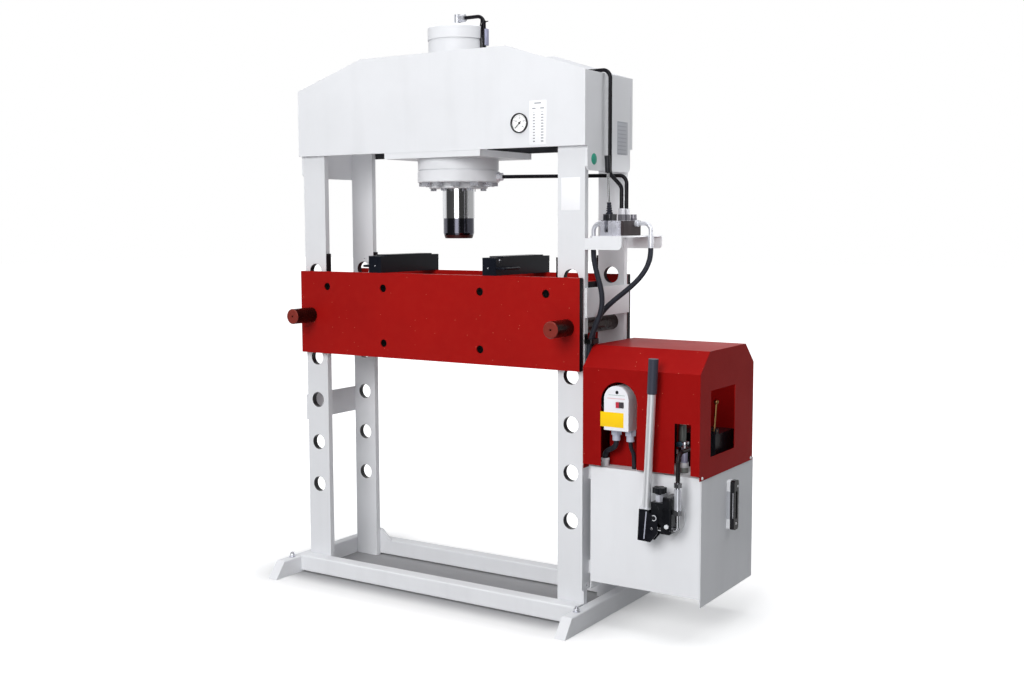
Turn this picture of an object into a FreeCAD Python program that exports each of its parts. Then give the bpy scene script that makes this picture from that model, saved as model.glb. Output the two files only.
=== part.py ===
"""Hydraulic workshop press: welded frame, pinned table, double-acting ram,
lever valve, and a tank with an electric pump and a hand pump at its side.

Millimetres.  X runs to the right along the head, Y to the back, Z up.
The ram's axis is X = 0, Y = 0, and the floor is Z = 0.
"""
import FreeCAD, Part
import Sketcher
import math
import os
import re

from FreeCAD import Placement, Rotation, Vector

os.makedirs("parts", exist_ok=True)
doc = FreeCAD.newDocument("hydraulic_press")

# ---------------------------------------------------------------- sizes
# Each driving dimension once: name, millimetres (or count, or degrees), meaning.
SIZES = [
    # frame
    ("pin_pitch", 150, "between pin holes of an upright"),
    ("pin_rows", 6, "pin holes in an upright"),
    ("first_pin_height", 312, "lowest pin hole above the floor"),
    ("table_rows", 4, "pin holes below the one that carries the table"),
    ("pin_diameter", 52, "table pin"),
    ("running_gap", 0.08, "radial clearance of pins, pivots and the ram"),
    ("seat_gap", 0.3, "clearance of fixed pieces round each other"),
    ("upright_width", 94, "flat bar of an upright"),
    ("upright_thickness", 20, "flat bar of an upright"),
    ("upright_spacing", 1022, "left to right, centre to centre"),
    ("upright_top", 1640, "top end of the uprights, inside the head"),
    ("head_depth", 306, "over both head plates"),
    ("head_plate", 15, "thickness of a head plate"),
    ("head_underside", 1457, "lower edge of the head plates"),
    ("head_end_rise", 221, "height of a head plate at its ends"),
    ("head_middle_rise", 311, "height of a head plate in the middle"),
    ("head_crown", 574, "level top edge of a head plate"),
    ("end_plate", 8, "thickness of the head's end plates and of the side ties"),
    ("end_plate_drop", 73, "how far the end plates hang below the head"),
    ("end_corner", 12, "chamfer at the end plates' lower corners"),
    ("seat_plate_length", 380, "plate under the head that carries the cylinder"),
    ("seat_plate", 20, "its thickness"),
    ("tie_height", 89, "side tie plates between front and rear uprights"),
    ("lower_tie", 582, "centre height of the lower side ties"),
    ("upper_tie", 987, "centre height of the upper side ties"),
    ("foot_width", 36, "foot, across"),
    ("foot_height", 57, "foot"),
    ("foot_length", 632, "foot, front to back on the floor"),
    ("foot_slope", 43, "how far each sloped foot end leans in"),
    ("foot_round", 5, "corner radius of the foot tubes"),
    ("anchor_hole", 14, "floor bolt hole in a foot"),
    ("anchor_spread", 430, "between the two floor bolt holes of a foot"),
    ("beam_depth", 50, "base beams, rectangular tube"),
    ("beam_height", 56, "base beams"),
    ("beam_lift", 4, "base beams above the floor"),
    ("beam_wall", 4, "base beams"),
    ("beam_round", 6, "base beams, outer corner radius"),
    ("gusset_sheet", 8, "gussets between the rear beam and the rear uprights"),
    ("gusset_rise", 35, "gussets, above the beam"),
    ("gusset_cover", 30, "gussets, behind the upright"),
    ("gusset_flat", 12, "level top of a gusset, beside the upright"),
    ("gusset_reach", 52, "foot of a gusset, beside the upright"),
    # cylinder and ram
    ("bore", 140, "cylinder bore"),
    ("barrel_diameter", 192, "outside of the barrel"),
    ("barrel_top", 1815, "upper end of the barrel"),
    ("flange_diameter", 268, "flange of the barrel"),
    ("flange_thickness", 36, "flange of the barrel"),
    ("ring_diameter", 271, "clamping ring under the flange"),
    ("ring_thickness", 41, "clamping ring"),
    ("groove_height", 4, "groove between ring and flange"),
    ("groove_depth", 5, "the same, radially"),
    ("gland_diameter", 195, "gland that guides the ram"),
    ("gland_thickness", 19, "flange of the gland"),
    ("gland_spigot", 65, "part of the gland inside the ring and the barrel"),
    ("rod_diameter", 107, "chromed ram rod"),
    ("rod_show", 98, "rod between gland and nose, as it stands now"),
    ("rod_spigot", 60, "upper end of the rod, through the piston"),
    ("nose_diameter", 102, "nose of the ram"),
    ("nose_length", 66, "nose of the ram"),
    ("nose_taper", 17, "height of the nose's tapered end"),
    ("nose_tip_diameter", 90, "diameter of the nose's end face"),
    ("nose_spigot", 50, "lower end of the rod, inside the nose"),
    ("nose_spigot_length", 30, "the same"),
    ("piston_bottom", 1655, "underside of the piston as it stands now"),
    ("piston_height", 60, "piston"),
    ("seal_width", 10, "seal groove of the piston"),
    ("seal_depth", 4, "seal groove of the piston"),
    ("cap_diameter", 196, "cap of the cylinder"),
    ("cap_height", 44, "cap of the cylinder"),
    ("cap_neck", 7, "weld neck between barrel and cap"),
    ("cap_neck_diameter", 189, "weld neck"),
    ("cap_spigot", 14, "part of the cap inside the barrel"),
    ("cap_chamfer", 6, "upper edge of the cap"),
    ("ring_bolts", 12, "bolts of the clamping ring"),
    ("ring_bolt_circle", 235, "their circle"),
    ("ring_bolt", 18, "their thread diameter"),
    ("ring_bolt_across", 27, "across the flats of their heads"),
    ("ring_bolt_head", 12, "height of their heads"),
    ("ring_bolt_grip", 15, "their depth in the seat plate"),
    ("gland_bolts", 6, "bolts of the gland"),
    ("gland_bolt_circle", 166, "their circle"),
    ("gland_bolt", 12, "their thread diameter"),
    ("gland_bolt_across", 19, "across the flats of their heads"),
    ("gland_bolt_head", 8, "height of their heads"),
    ("gland_bolt_grip", 24, "their depth in the clamping ring"),
    # pipes and their fittings
    ("pipe_diameter", 12, "steel pressure pipes"),
    ("pipe_bend", 26, "centre-line radius of their bends"),
    ("port_thread", 20, "thread of the port fittings"),
    ("port_depth", 18, "their depth in cap and ring"),
    ("port_body", 22, "body of the top elbow"),
    ("port_nut_across", 22, "union nuts on the pipes"),
    ("port_nut", 18, "length of the union nuts"),
    ("top_elbow_height", 41, "top elbow over the cap"),
    ("top_pipe_height", 28, "pipe axis over the cap"),
    ("riser_offset", 105, "riser beside the cylinder, from its axis"),
    ("cross_height", 1687, "pipe axis where it crosses over the end plate"),
    ("drop_out", 21, "drop pipe, from the end plate's face"),
    ("drop_y", -36, "drop pipe"),
    ("drop_turn", 1376, "height where the drop pipe turns to the valve"),
    ("drop_slant", 40, "height of its slanting piece"),
    ("ring_port_height", 1378, "port in the clamping ring"),
    ("ring_port_run", 60, "level run of the pipe out of the ring's port"),
    ("ring_port_angle", 15, "its direction, turned from +X to the back"),
    ("ring_port_reach", 20, "its fitting, out of the ring"),
    ("lower_run_height", 1371, "lower pipe where it passes under the end plate"),
    # pressure gauge
    ("gauge_x", 337, "gauge in the head's front plate"),
    ("gauge_rise", 74, "gauge above the head's lower edge"),
    ("gauge_diameter", 60, "bezel"),
    ("gauge_body", 57, "case, through the plate"),
    ("gauge_depth", 52, "case, front to back"),
    ("gauge_bezel", 6, "case in front of the plate"),
    ("gauge_rim", 3, "width of the bezel"),
    ("gauge_recess", 6, "dial behind the bezel's front"),
    ("gauge_glass", 2, "thickness of the glass"),
    ("needle_length", 21, "pointer, from its hub"),
    ("needle_tail", 8, "pointer, behind its hub"),
    ("needle_width", 2.4, "pointer"),
    ("needle_hub", 7, "hub of the pointer"),
    ("needle_spindle", 3, "spindle in the case"),
    ("needle_angle", 225, "direction of the pointer at no pressure"),
    # valve on its bracket
    ("bracket_reach", 123, "bracket, out from the uprights"),
    ("bracket_top", 1188, "upper face of the bracket"),
    ("bracket_drop", 41, "height of its folded edges"),
    ("bracket_sheet", 4, "bracket sheet"),
    ("bracket_corner", 13, "rounded corners of the folded edges"),
    ("bracket_notch", 23, "open strip between uprights and top sheet"),
    ("bracket_step", 6, "folded edges below the top face at that strip"),
    ("valve_x", 618, "centre of the valve"),
    ("valve_width", 54, "valve body"),
    ("valve_height", 45, "valve body"),
    ("valve_front", -60, "front face of the valve body"),
    ("valve_back", 62, "back face of the valve body"),
    ("valve_round", 4, "edges of the castings"),
    ("port_a_y", -18, "work port of the upper pipe"),
    ("port_b_y", 15, "work port of the lower pipe"),
    ("relief_x", 626, "pressure setting plug"),
    ("relief_y", 47, "pressure setting plug"),
    ("relief_across", 20, "pressure setting plug"),
    ("relief_height", 19.5, "pressure setting plug"),
    ("adapter_across", 22, "adapters on the valve"),
    ("adapter_height", 19, "adapters on the valve"),
    ("housing_width", 40, "lever housing"),
    ("housing_length", 56, "lever housing"),
    ("lever_y", -92, "hand lever of the valve"),
    ("lever_pivot_height", 28, "lever pivot over the bracket"),
    ("lever_pivot", 6, "pivot pin of the lever"),
    ("lever_slot", 12, "slot that the lever swings in"),
    ("fork_height", 20, "lever fork over the housing"),
    ("fork_width", 30, "lever fork"),
    ("lever_rod", 8, "rod of the lever"),
    ("lever_top", 1427, "upper end of the lever's grip"),
    ("lever_grip", 17, "diameter of the grip"),
    ("lever_grip_length", 50, "grip"),
    ("lever_lean", 5, "lever leans to the front, degrees"),
    ("lever_arm", 14, "spool axis below the lever pivot"),
    ("boot_diameter", 17, "rubber boot on the lever"),
    ("boot_bottom", 1259, "lower end of the boot"),
    ("boot_length", 32, "boot"),
    ("spool_diameter", 14, "spool of the valve"),
    ("spool_neck", 14, "each neck between the spool's lands"),
    ("spool_neck_start", 52, "first neck behind the spool's start"),
    ("spool_neck_pitch", 32, "from neck to neck"),
    ("spool_length", 134, "spool"),
    ("spool_groove", 10, "groove that the lever's end sits in"),
    # hose ends and hoses
    ("hose_diameter", 16, "rubber hoses"),
    ("ferrule_diameter", 19, "crimped hose ends"),
    ("ferrule_length", 38, "crimped hose ends"),
    ("elbow_tube", 13, "swept elbows of the hose ends"),
    ("left_elbow_x", 569.5, "left elbow, straight down"),
    ("left_elbow_y", -105, "left elbow"),
    ("right_elbow_x", 696, "right elbow, straight down"),
    ("right_elbow_y", 26, "right elbow"),
    ("elbow_height", 1225, "axis of both elbows where they leave the valve"),
    ("elbow_bend", 22, "centre-line radius of the elbows"),
    ("hose_start", 1150, "lower end of the ferrules"),
    ("hose_end", 548, "upper end of the hose stubs on the tank"),
    ("clamp_height", 871, "hose clamp on the upright"),
    ("clamp_width", 14, "hose clamp, along the hoses"),
    ("clamp_sheet", 2, "hose clamp"),
    ("clamp_front", -141, "hose clamp"),
    ("clamp_back", -94, "hose clamp"),
    ("clamp_right", 586, "hose clamp"),
    ("clamp_round", 8, "hose clamp, its outer corners"),
    # table
    ("table_half", 556, "table plates, from the middle to each end"),
    ("table_plate", 20, "thickness of a table plate"),
    ("table_slack", 7, "between uprights and table plates"),
    ("table_height", 282, "table plates"),
    ("table_over_pin", 151, "table top above the pins"),
    ("spacer_x", 194, "inner spacers"),
    ("spacer_thickness", 26, "inner spacers"),
    ("spacer_margin", 14, "inner spacers below the table top and above its bottom"),
    ("end_spacer_x", 437, "screws of the end spacers"),
    ("end_spacer_height", 56, "end spacers"),
    ("screw_upper", 51, "upper screws below the table top"),
    ("screw_lower", 234, "lower screws below the table top"),
    ("screw_diameter", 14, "table screws"),
    ("screw_head", 24, "table screws"),
    ("screw_head_height", 11, "table screws"),
    ("screw_sink", 3, "screw heads below the plate's face"),
    ("screw_length", 45, "table screws, under the head"),
    ("guide_thickness", 6, "guide strips beside the uprights"),
    ("guide_width", 18, "guide strips"),
    ("guide_gap", 0.5, "between guide strip and upright"),
    ("guide_rise", 60, "guide strips above the table top"),
    ("guide_drop", 160, "guide strips below the table top"),
    ("pin_reach", 97, "table pins in front of the table"),
    ("pin_rear_reach", 12, "table pins behind the table"),
    ("pin_chamfer", 3, "both ends of a table pin"),
    ("block_x", 229, "centre of each support block"),
    ("block_width", 52, "support blocks"),
    ("block_height", 56, "support blocks, at their ends"),
    ("block_crown", 4, "raised middle of the support blocks"),
    ("block_end", 41, "length of their lower ends"),
    ("block_chamfer", 3, "their edges"),
    ("handle_rod", 8, "handle on the outer side of a support block"),
    ("handle_reach", 28, "handle, out from the block"),
    ("handle_length", 90, "handle, along the block"),
    ("handle_height", 22, "handle above the table"),
    # power unit
    ("bracket_plate", 6, "plate that holds the tank on the right uprights"),
    ("bracket_front", 160, "its front edge, in front of the middle"),
    ("bracket_low", 104, "its lower edge"),
    ("bracket_high", 496, "its upper edge"),
    ("rail_height", 40, "rails between this plate and the tank"),
    ("tank_left", 593, "tank"),
    ("tank_front", -160, "tank"),
    ("tank_back", 232, "tank"),
    ("tank_floor", 142, "underside of the tank"),
    ("tank_top", 497, "tank"),
    ("tank_skirt", 24, "side sheets below the tank's underside"),
    ("tank_wall", 3, "tank sheet"),
    ("cover_left", 577, "cover"),
    ("cover_right", 957, "cover"),
    ("cover_front", -181, "cover"),
    ("cover_back", 219, "cover"),
    ("cover_low", 492, "lower edge of the cover's sides"),
    ("cover_front_low", 506, "lower edge of the cover's front"),
    ("cover_top", 860, "cover"),
    ("cover_bevel_depth", 66, "bevels along the top, front to back"),
    ("cover_bevel_drop", 61, "bevels along the top, down"),
    ("cover_sheet", 2, "cover sheet"),
    ("arch_x", 698, "arched opening in the cover's front"),
    ("arch_width", 119, "arched opening"),
    ("arch_spring", 701, "height where its arc begins"),
    ("panel_front", -110, "recessed panel behind the switch box"),
    ("panel_left", 631, "recessed panel"),
    ("panel_right", 757.5, "recessed panel"),
    ("panel_high", 745, "recessed panel"),
    ("slit_left", 878, "narrow opening in the cover's front"),
    ("slit_right", 929, "narrow opening"),
    ("slit_top", 654, "narrow opening"),
    ("window_front", -105, "window in the cover's right side"),
    ("window_back", 74, "window"),
    ("window_low", 551, "window"),
    ("window_high", 745, "window"),
    ("hose_slot_front", -146, "slot for the hoses in the cover's left side"),
    ("hose_slot_back", -86, "slot for the hoses"),
    ("hose_slot_top", 800, "slot for the hoses"),
    ("motor_x", 690, "motor"),
    ("motor_y", 22, "motor"),
    ("motor_diameter", 170, "motor"),
    ("motor_top", 790, "motor"),
    ("motor_fins", 24, "cooling fins of the motor"),
    ("motor_fin_height", 7, "cooling fins"),
    ("motor_fin_width", 4, "cooling fins"),
    ("motor_flange", 12, "foot flange of the motor"),
    ("fan_cowl", 36, "fan cowl on top of the motor"),
    ("manifold_left", 812, "manifold block on the tank"),
    ("manifold_right", 932, "manifold block"),
    ("manifold_front", -12, "manifold block"),
    ("manifold_back", 130, "manifold block"),
    ("manifold_top", 600, "manifold block"),
    ("selector_x", 920, "selector lever"),
    ("selector_y", 6, "selector lever"),
    ("selector_shaft", 10, "its cross shaft"),
    ("selector_rod", 6, "selector lever"),
    ("selector_length", 86, "selector lever, to the middle of its ball"),
    ("selector_ball", 15, "ball knob"),
    ("selector_lean", 9, "selector lever leans back, degrees"),
    ("box_left", 652, "switch box"),
    ("box_right", 733, "switch box"),
    ("box_front", -187, "switch box"),
    ("box_low", 617, "switch box"),
    ("box_high", 750, "switch box"),
    ("rocker_x", 704, "rocker switch"),
    ("rocker_height", 694, "rocker switch"),
    ("rocker_wide", 24, "rocker switch"),
    ("rocker_tall", 17, "rocker switch"),
    ("rocker_deep", 13, "rocker switch"),
    ("rocker_tilt", 7, "rocker stands tilted by this, degrees"),
    ("rocker_pivot", 4, "pivot of the rocker, its size and how deep it lies"),
    ("gland_nut", 30, "cable glands under the box"),
    ("gland_length", 36, "cable glands"),
    ("cable_diameter", 12.5, "right cable, from its gland to the tank"),
    ("cable_bow", 6, "right cable bows sideways below its gland"),
    ("lead_diameter", 16, "sleeved left cable, from its gland to its stub"),
    ("lead_stub_x", 626.5, "stub of the left cable on the tank"),
    ("lead_stub_y", -130, "stub of the left cable"),
    ("lead_stub_low", 18, "lower, round part of that stub"),
    ("lead_stub_nut", 6, "nut on top of that stub"),
    ("lead_stub_diameter", 22, "stub of the left cable"),
    ("lead_start", 18, "straight end of the left cable at its gland and its stub"),
    ("gland_inset_left", 20, "left gland inside the box's left side"),
    ("gland_inset_right", 14, "right gland inside the box's right side"),
    ("gland_depth", 42, "glands behind the box's front"),
    # hand pump
    ("flange_x", 832, "round mounting flange on the tank's front"),
    ("flange_height", 377, "round mounting flange"),
    ("flange_round", 148, "its diameter"),
    ("flange_plate", 7, "its thickness"),
    ("pump_left", 829, "pump casting"),
    ("pump_right", 892, "pump casting"),
    ("pump_front", -230, "pump casting"),
    ("pump_low", 338, "pump casting"),
    ("pump_high", 446, "pump casting"),
    ("pump_step", 429, "lower left part of its top"),
    ("pump_shoulder", 866, "where that part ends"),
    ("pump_round", 9, "edges of the pump casting"),
    ("pivot_x", 839, "pivot of the pump lever"),
    ("pivot_height", 383, "pivot of the pump lever"),
    ("pivot_pin", 12, "pivot pin"),
    ("fork_plate", 5, "side plates of the lever's fork"),
    ("fork_play", 1.5, "between fork and casting, behind and over it"),
    ("fork_wall", 875, "wall of the casting to the right of the fork"),
    ("lug_play", 0.5, "between each fork plate and the lug"),
    ("lug_round", 12, "half width of the lug and of the fork at the pivot"),
    ("barrel_left", 858, "left end of the plunger's bore"),
    ("plunger_drop", 32, "plunger axis below the pivot"),
    ("plunger_diameter", 16, "plunger of the pump"),
    ("plunger_length", 42, "plunger"),
    ("plunger_bore", 32, "depth of its bore"),
    ("wrist_in", 6, "cross pin of the plunger, to the left of the pivot"),
    ("wrist_pin", 8, "cross pin between plunger and lever"),
    ("wrist_play", 0.8, "clearance of that pin in the lever's fork"),
    ("tube_offset", 34, "axis of the lever's tube, to the left of the pivot"),
    ("socket_width", 34, "lever socket"),
    ("socket_low", 310, "lower end of the lever socket"),
    ("socket_high", 404, "upper end of the lever socket"),
    ("socket_depth", 36, "lever socket, front to back"),
    ("socket_round", 5, "edges of the lever socket"),
    ("handle_tube", 24, "tube of the pump lever"),
    ("handle_top", 838, "upper end of the pump lever"),
    ("handle_grip", 29, "grip of the pump lever"),
    ("handle_grip_length", 100, "grip of the pump lever"),
    ("handle_tilt", 2.5, "pump lever tilts to the right, degrees"),
    ("knob_x", 846, "release knob"),
    ("knob_y", -209, "release knob"),
    ("knob_diameter", 41, "release knob"),
    ("knob_height", 16, "release knob"),
    ("knob_lobes", 6, "hollows round the release knob"),
    ("knob_stem", 10, "stem of the release knob"),
    ("knob_nut", 22, "bush that the stem turns in"),
    ("knob_nut_height", 20, "the same"),
    ("knob_lift", 5, "knob above its bush"),
    ("column_x", 905.5, "check valve beside the pump"),
    ("column_y", -214, "check valve"),
    ("column_body_low", 410, "round body of the check valve"),
    ("column_body_high", 473, "round body"),
    ("column_body", 20, "round body"),
    ("column_nut", 22, "its nuts, across the flats"),
    ("column_top", 489, "upper end of its upper nut"),
    ("feed_pipe", 13, "pipe from the check valve to the manifold"),
    ("feed_turn", 575, "height where this pipe turns in"),
    ("sight_front", 24.5, "oil level gauge on the tank's side"),
    ("sight_width", 33, "oil level gauge"),
    ("sight_low", 310, "oil level gauge"),
    ("sight_high", 460, "oil level gauge"),
    ("sight_depth", 25, "oil level gauge"),
    ("sight_round", 8, "its rounded ends"),
    ("sight_slot_width", 12, "its window"),
    ("sight_slot_height", 84, "its window"),
    ("sight_slot_depth", 5, "its window"),
]

# Places that follow from the sizes.
PLACES = [
    ("upright_front", "head_depth / 2 - head_plate"),
    ("upright_back", "upright_front - upright_thickness"),
    ("upright_x", "upright_spacing / 2"),
    ("upright_inner", "upright_x - upright_width / 2"),
    ("upright_outer", "upright_x + upright_width / 2"),
    ("head_half", "upright_outer + end_plate"),
    ("end_plate_top", "head_underside + head_end_rise"),
    ("seat_face", "head_underside - seat_plate"),
    ("gauge_height", "head_underside + gauge_rise"),
    ("flange_face", "seat_face - flange_thickness"),
    ("ring_face", "flange_face - ring_thickness"),
    ("gland_face", "ring_face - gland_thickness"),
    ("nose_top", "gland_face - rod_show"),
    ("nose_bottom", "nose_top - nose_length"),
    ("cap_bottom", "barrel_top + cap_neck"),
    ("cap_top", "cap_bottom + cap_height"),
    ("pin_height", "first_pin_height + table_rows * pin_pitch"),
    ("pin_hole", "pin_diameter + 2 * running_gap"),
    ("table_inside", "upright_front + table_slack"),
    ("table_front", "table_inside + table_plate"),
    ("table_top", "pin_height + table_over_pin"),
    ("table_bottom", "table_top - table_height"),
    ("foot_x", "upright_outer"),
    ("drop_x", "head_half + drop_out"),
    ("bracket_underside", "bracket_top - bracket_drop"),
    ("bracket_right", "upright_outer + bracket_reach"),
    ("valve_top", "bracket_top + valve_height"),
    ("lever_axis", "bracket_top + lever_pivot_height"),
    ("spool_axis", "lever_axis - lever_arm"),
    ("housing_front", "valve_front - housing_length"),
    ("adapter_top", "valve_top + adapter_height"),
    ("nut_top", "adapter_top + port_nut"),
    ("tank_right", "cover_right - cover_sheet - seat_gap"),
    ("plate_outer", "upright_outer + bracket_plate"),
    ("pump_back", "-tank_front + flange_plate"),
    ("plunger_height", "pivot_height - plunger_drop"),
    ("lever_plane", "pump_front + socket_depth / 2"),
    ("lug_width", "socket_depth - 2 * fork_plate - 2 * lug_play"),
    ("fork_roof", "pivot_height + lug_round + lug_round"),
]

sizes = doc.addObject("Spreadsheet::Sheet", "Sizes")
for line, (name, number, meaning) in enumerate(SIZES, 1):
    sizes.set(f"A{line}", name)
    sizes.set(f"B{line}", str(number))
    sizes.set(f"C{line}", meaning)
    sizes.setAlias(f"B{line}", name)

SHEET_OF = {name: "Sizes" for name, number, meaning in SIZES}
SHEET_OF.update({name: "Places" for name, formula in PLACES})


def cells(formula):
    """A formula in plain names, with the sheet of each name put before it."""
    return re.sub(r"[a-z][a-z_]*[a-z]",
                  lambda word: f"{SHEET_OF[word.group()]}.{word.group()}"
                  if word.group() in SHEET_OF else word.group(), formula)


places = doc.addObject("Spreadsheet::Sheet", "Places")
for line, (name, formula) in enumerate(PLACES, 1):
    places.set(f"A{line}", name)
    places.set(f"B{line}", "=" + cells(formula).replace("Places.", ""))
    places.setAlias(f"B{line}", name)
doc.recompute()


def number(name):
    """The present value of a size or place."""
    sheet = sizes if SHEET_OF[name] == "Sizes" else places
    return float(sheet.get(name))


# ---------------------------------------------------------------- tools
NODES = []          # every finished sub-part, in the order of making


def finish(thing, label):
    """Names a finished sub-part."""
    thing.Label = label
    NODES.append(thing)
    return thing


def bind(thing, **formulas):
    """Ties properties to formulas; two underscores stand for a point."""
    for name, formula in formulas.items():
        thing.setExpression(name.replace("__", "."), cells(formula))
    return thing


def move(thing, x="0", y="0", z="0", turn=None):
    """Puts an object at a place given by formulas, after a fixed turn."""
    if turn:
        thing.Placement = Placement(Vector(0, 0, 0), turn)
    return bind(thing, Placement__Base__x=x, Placement__Base__y=y, Placement__Base__z=z)


ALONG_X = Rotation(Vector(0, 1, 0), 90)
ALONG_Y = Rotation(Vector(1, 0, 0), -90)
ALONG_Z = Rotation()


def box(x, y, z, long, wide, tall):
    """A block from its lower corner and its three sizes."""
    block = doc.addObject("Part::Box", "block")
    bind(block, Length=long, Width=wide, Height=tall)
    return move(block, x, y, z)


def round_bar(diameter, length, x="0", y="0", z="0", along=ALONG_Z):
    """A cylinder that starts at x, y, z and runs along an axis."""
    bar = doc.addObject("Part::Cylinder", "bar")
    bind(bar, Radius=f"({diameter}) / 2", Height=length)
    return move(bar, x, y, z, along)


def hexagon(across, length, x="0", y="0", z="0", along=ALONG_Z):
    """A six-sided bar, given across its flats."""
    bar = doc.addObject("Part::Prism", "hexagon")
    bar.Polygon = 6
    bind(bar, Circumradius=f"({across}) / 2 / cos(30 deg)", Height=length)
    return move(bar, x, y, z, along)


def ball(diameter, x, y, z):
    sphere = doc.addObject("Part::Sphere", "ball")
    bind(sphere, Radius=f"({diameter}) / 2")
    return move(sphere, x, y, z)


def fuse(parts):
    union = doc.addObject("Part::MultiFuse", "union")
    union.Shapes = parts
    return union


def cut(base, tools):
    tool = tools[0] if len(tools) == 1 else fuse(tools)
    difference = doc.addObject("Part::Cut", "difference")
    difference.Base, difference.Tool = base, tool
    return difference


def several(pieces):
    """Equal pieces that share one node."""
    group = doc.addObject("Part::Compound", "pieces")
    group.Links = pieces
    return group


def new_body():
    return doc.addObject("PartDesign::Body", "body")


def sketch(body, plane, offset="0"):
    """An empty sketch on an origin plane of the body.  XZ faces the front."""
    drawing = body.newObject("Sketcher::SketchObject", "sketch")
    support = [f for f in body.Origin.OriginFeatures if f.Role == plane][0]
    drawing.AttachmentSupport = [(support, "")]
    drawing.MapMode = "FlatFace"
    return bind(drawing, AttachmentOffset__Base__z=offset)


def pin_down(drawing, line, point, u, v):
    """Ties a point of a sketch to two formulas, measured from its origin."""
    for kind, formula in (("DistanceX", u), ("DistanceY", v)):
        rule = drawing.addConstraint(Sketcher.Constraint(kind, -1, 1, line, point, 1.0))
        drawing.setExpression(f"Constraints[{rule}]", cells(formula))


def outline(drawing, corners):
    """A closed outline of straight lines through the corners, in order."""
    first = drawing.GeometryCount
    count = len(corners)
    ring = [Vector(10 * math.cos(2 * math.pi * k / count),
                   10 * math.sin(2 * math.pi * k / count), 0) for k in range(count)]
    for k in range(count):
        drawing.addGeometry(Part.LineSegment(ring[k], ring[(k + 1) % count]))
    for k in range(count):
        drawing.addConstraint(Sketcher.Constraint(
            "Coincident", first + k, 2, first + (k + 1) % count, 1))
    for k, (u, v) in enumerate(corners):
        pin_down(drawing, first + k, 1, u, v)
    return drawing


def rectangle(drawing, left, right, low, high):
    return outline(drawing, [(left, low), (right, low), (right, high), (left, high)])


def circle(drawing, u, v, diameter):
    index = drawing.addGeometry(Part.Circle(Vector(1, 1, 0), Vector(0, 0, 1), 5))
    pin_down(drawing, index, 3, u, v)
    rule = drawing.addConstraint(Sketcher.Constraint("Diameter", index, 10.0))
    drawing.setExpression(f"Constraints[{rule}]", cells(diameter))
    return drawing


def pad(body, drawing, length, reverse=False):
    feature = body.newObject("PartDesign::Pad", "pad")
    feature.Profile = drawing
    feature.Reversed = reverse
    return bind(feature, Length=length)


def pocket(body, drawing, depth=None, reverse=False):
    """Cuts a sketch away: to a depth, or both ways through the whole piece."""
    feature = body.newObject("PartDesign::Pocket", "pocket")
    feature.Profile = drawing
    feature.Reversed = reverse
    if depth:
        return bind(feature, Length=depth)
    feature.Type = "ThroughAll"
    feature.Midplane = True
    return feature


def turn_about(body, drawing, cutting=False, axis="V_Axis"):
    kind = "PartDesign::Groove" if cutting else "PartDesign::Revolution"
    feature = body.newObject(kind, "turned")
    feature.Profile = drawing
    feature.ReferenceAxis = (drawing, [axis])
    feature.Angle = 360
    return feature


def row_of(body, feature, drawing, axis, length, count):
    pattern = body.newObject("PartDesign::LinearPattern", "row")
    pattern.Originals = [feature]
    pattern.Direction = (drawing, [axis])
    bind(pattern, Length=length, Occurrences=count)
    body.Tip = pattern
    return pattern


def ring_of(body, feature, drawing, count):
    """Copies a feature round the normal of its own sketch."""
    pattern = body.newObject("PartDesign::PolarPattern", "ring")
    pattern.Originals = [feature]
    pattern.Axis = (drawing, ["N_Axis"])
    pattern.Angle = 360
    bind(pattern, Occurrences=count)
    body.Tip = pattern
    return pattern


def straight_edges(shape, direction, keep=None):
    """Names of the straight edges along a direction that pass a test of place."""
    found = []
    for index, edge in enumerate(shape.Edges, 1):
        if edge.Curve.TypeId != "Part::GeomLine":
            continue
        if abs(abs(edge.Curve.Direction.dot(direction)) - 1) > 1e-6:
            continue
        if keep is None or keep(edge.CenterOfMass):
            found.append(f"Edge{index}")
    return found


def ease(body, size, direction, keep=None, chamfer=False):
    """Rounds or chamfers the straight edges of the body along a direction."""
    doc.recompute()
    before = body.Tip
    kind = "PartDesign::Chamfer" if chamfer else "PartDesign::Fillet"
    feature = body.newObject(kind, "eased")
    feature.Base = (before, straight_edges(before.Shape, direction, keep))
    return bind(feature, **{"Size" if chamfer else "Radius": size})


X_AXIS, Y_AXIS, Z_AXIS = Vector(1, 0, 0), Vector(0, 1, 0), Vector(0, 0, 1)


def turned(profile, x="0", y="0", z="0", along=None):
    """A turned piece: its half section is radius and height, about Z."""
    body = new_body()
    drawing = outline(sketch(body, "XZ_Plane"), profile)
    turn_about(body, drawing)
    return move(body, x, y, z, along)


def made(shape, place=None):
    """A sub-part whose shape is built from the sizes by Part's own functions."""
    feature = doc.addObject("Part::Feature", "shape")
    feature.Shape = shape
    if place:
        feature.Placement = place
    return feature


def path_through(points, bend):
    """Straight runs joined by tangent arcs.  bend(before, after, half) gives a radius."""
    edges, radii, start = [], [], points[0]
    for before, corner, after in zip(points, points[1:], points[2:]):
        arrive, leave = corner - before, after - corner
        half = arrive.getAngle(leave) / 2
        radius = bend(arrive.Length, leave.Length, half)
        arrive.normalize()
        leave.normalize()
        reach = radius * math.tan(half)
        enter, go = corner - arrive * reach, corner + leave * reach
        inward = leave - arrive
        inward.normalize()
        middle = corner + inward * (radius / math.cos(half) - radius)
        edges += [Part.LineSegment(start, enter).toShape(),
                  Part.Arc(enter, middle, go).toShape()]
        radii.append(radius)
        start = go
    edges.append(Part.LineSegment(start, points[-1]).toShape())
    return Part.Wire(edges), radii


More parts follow.
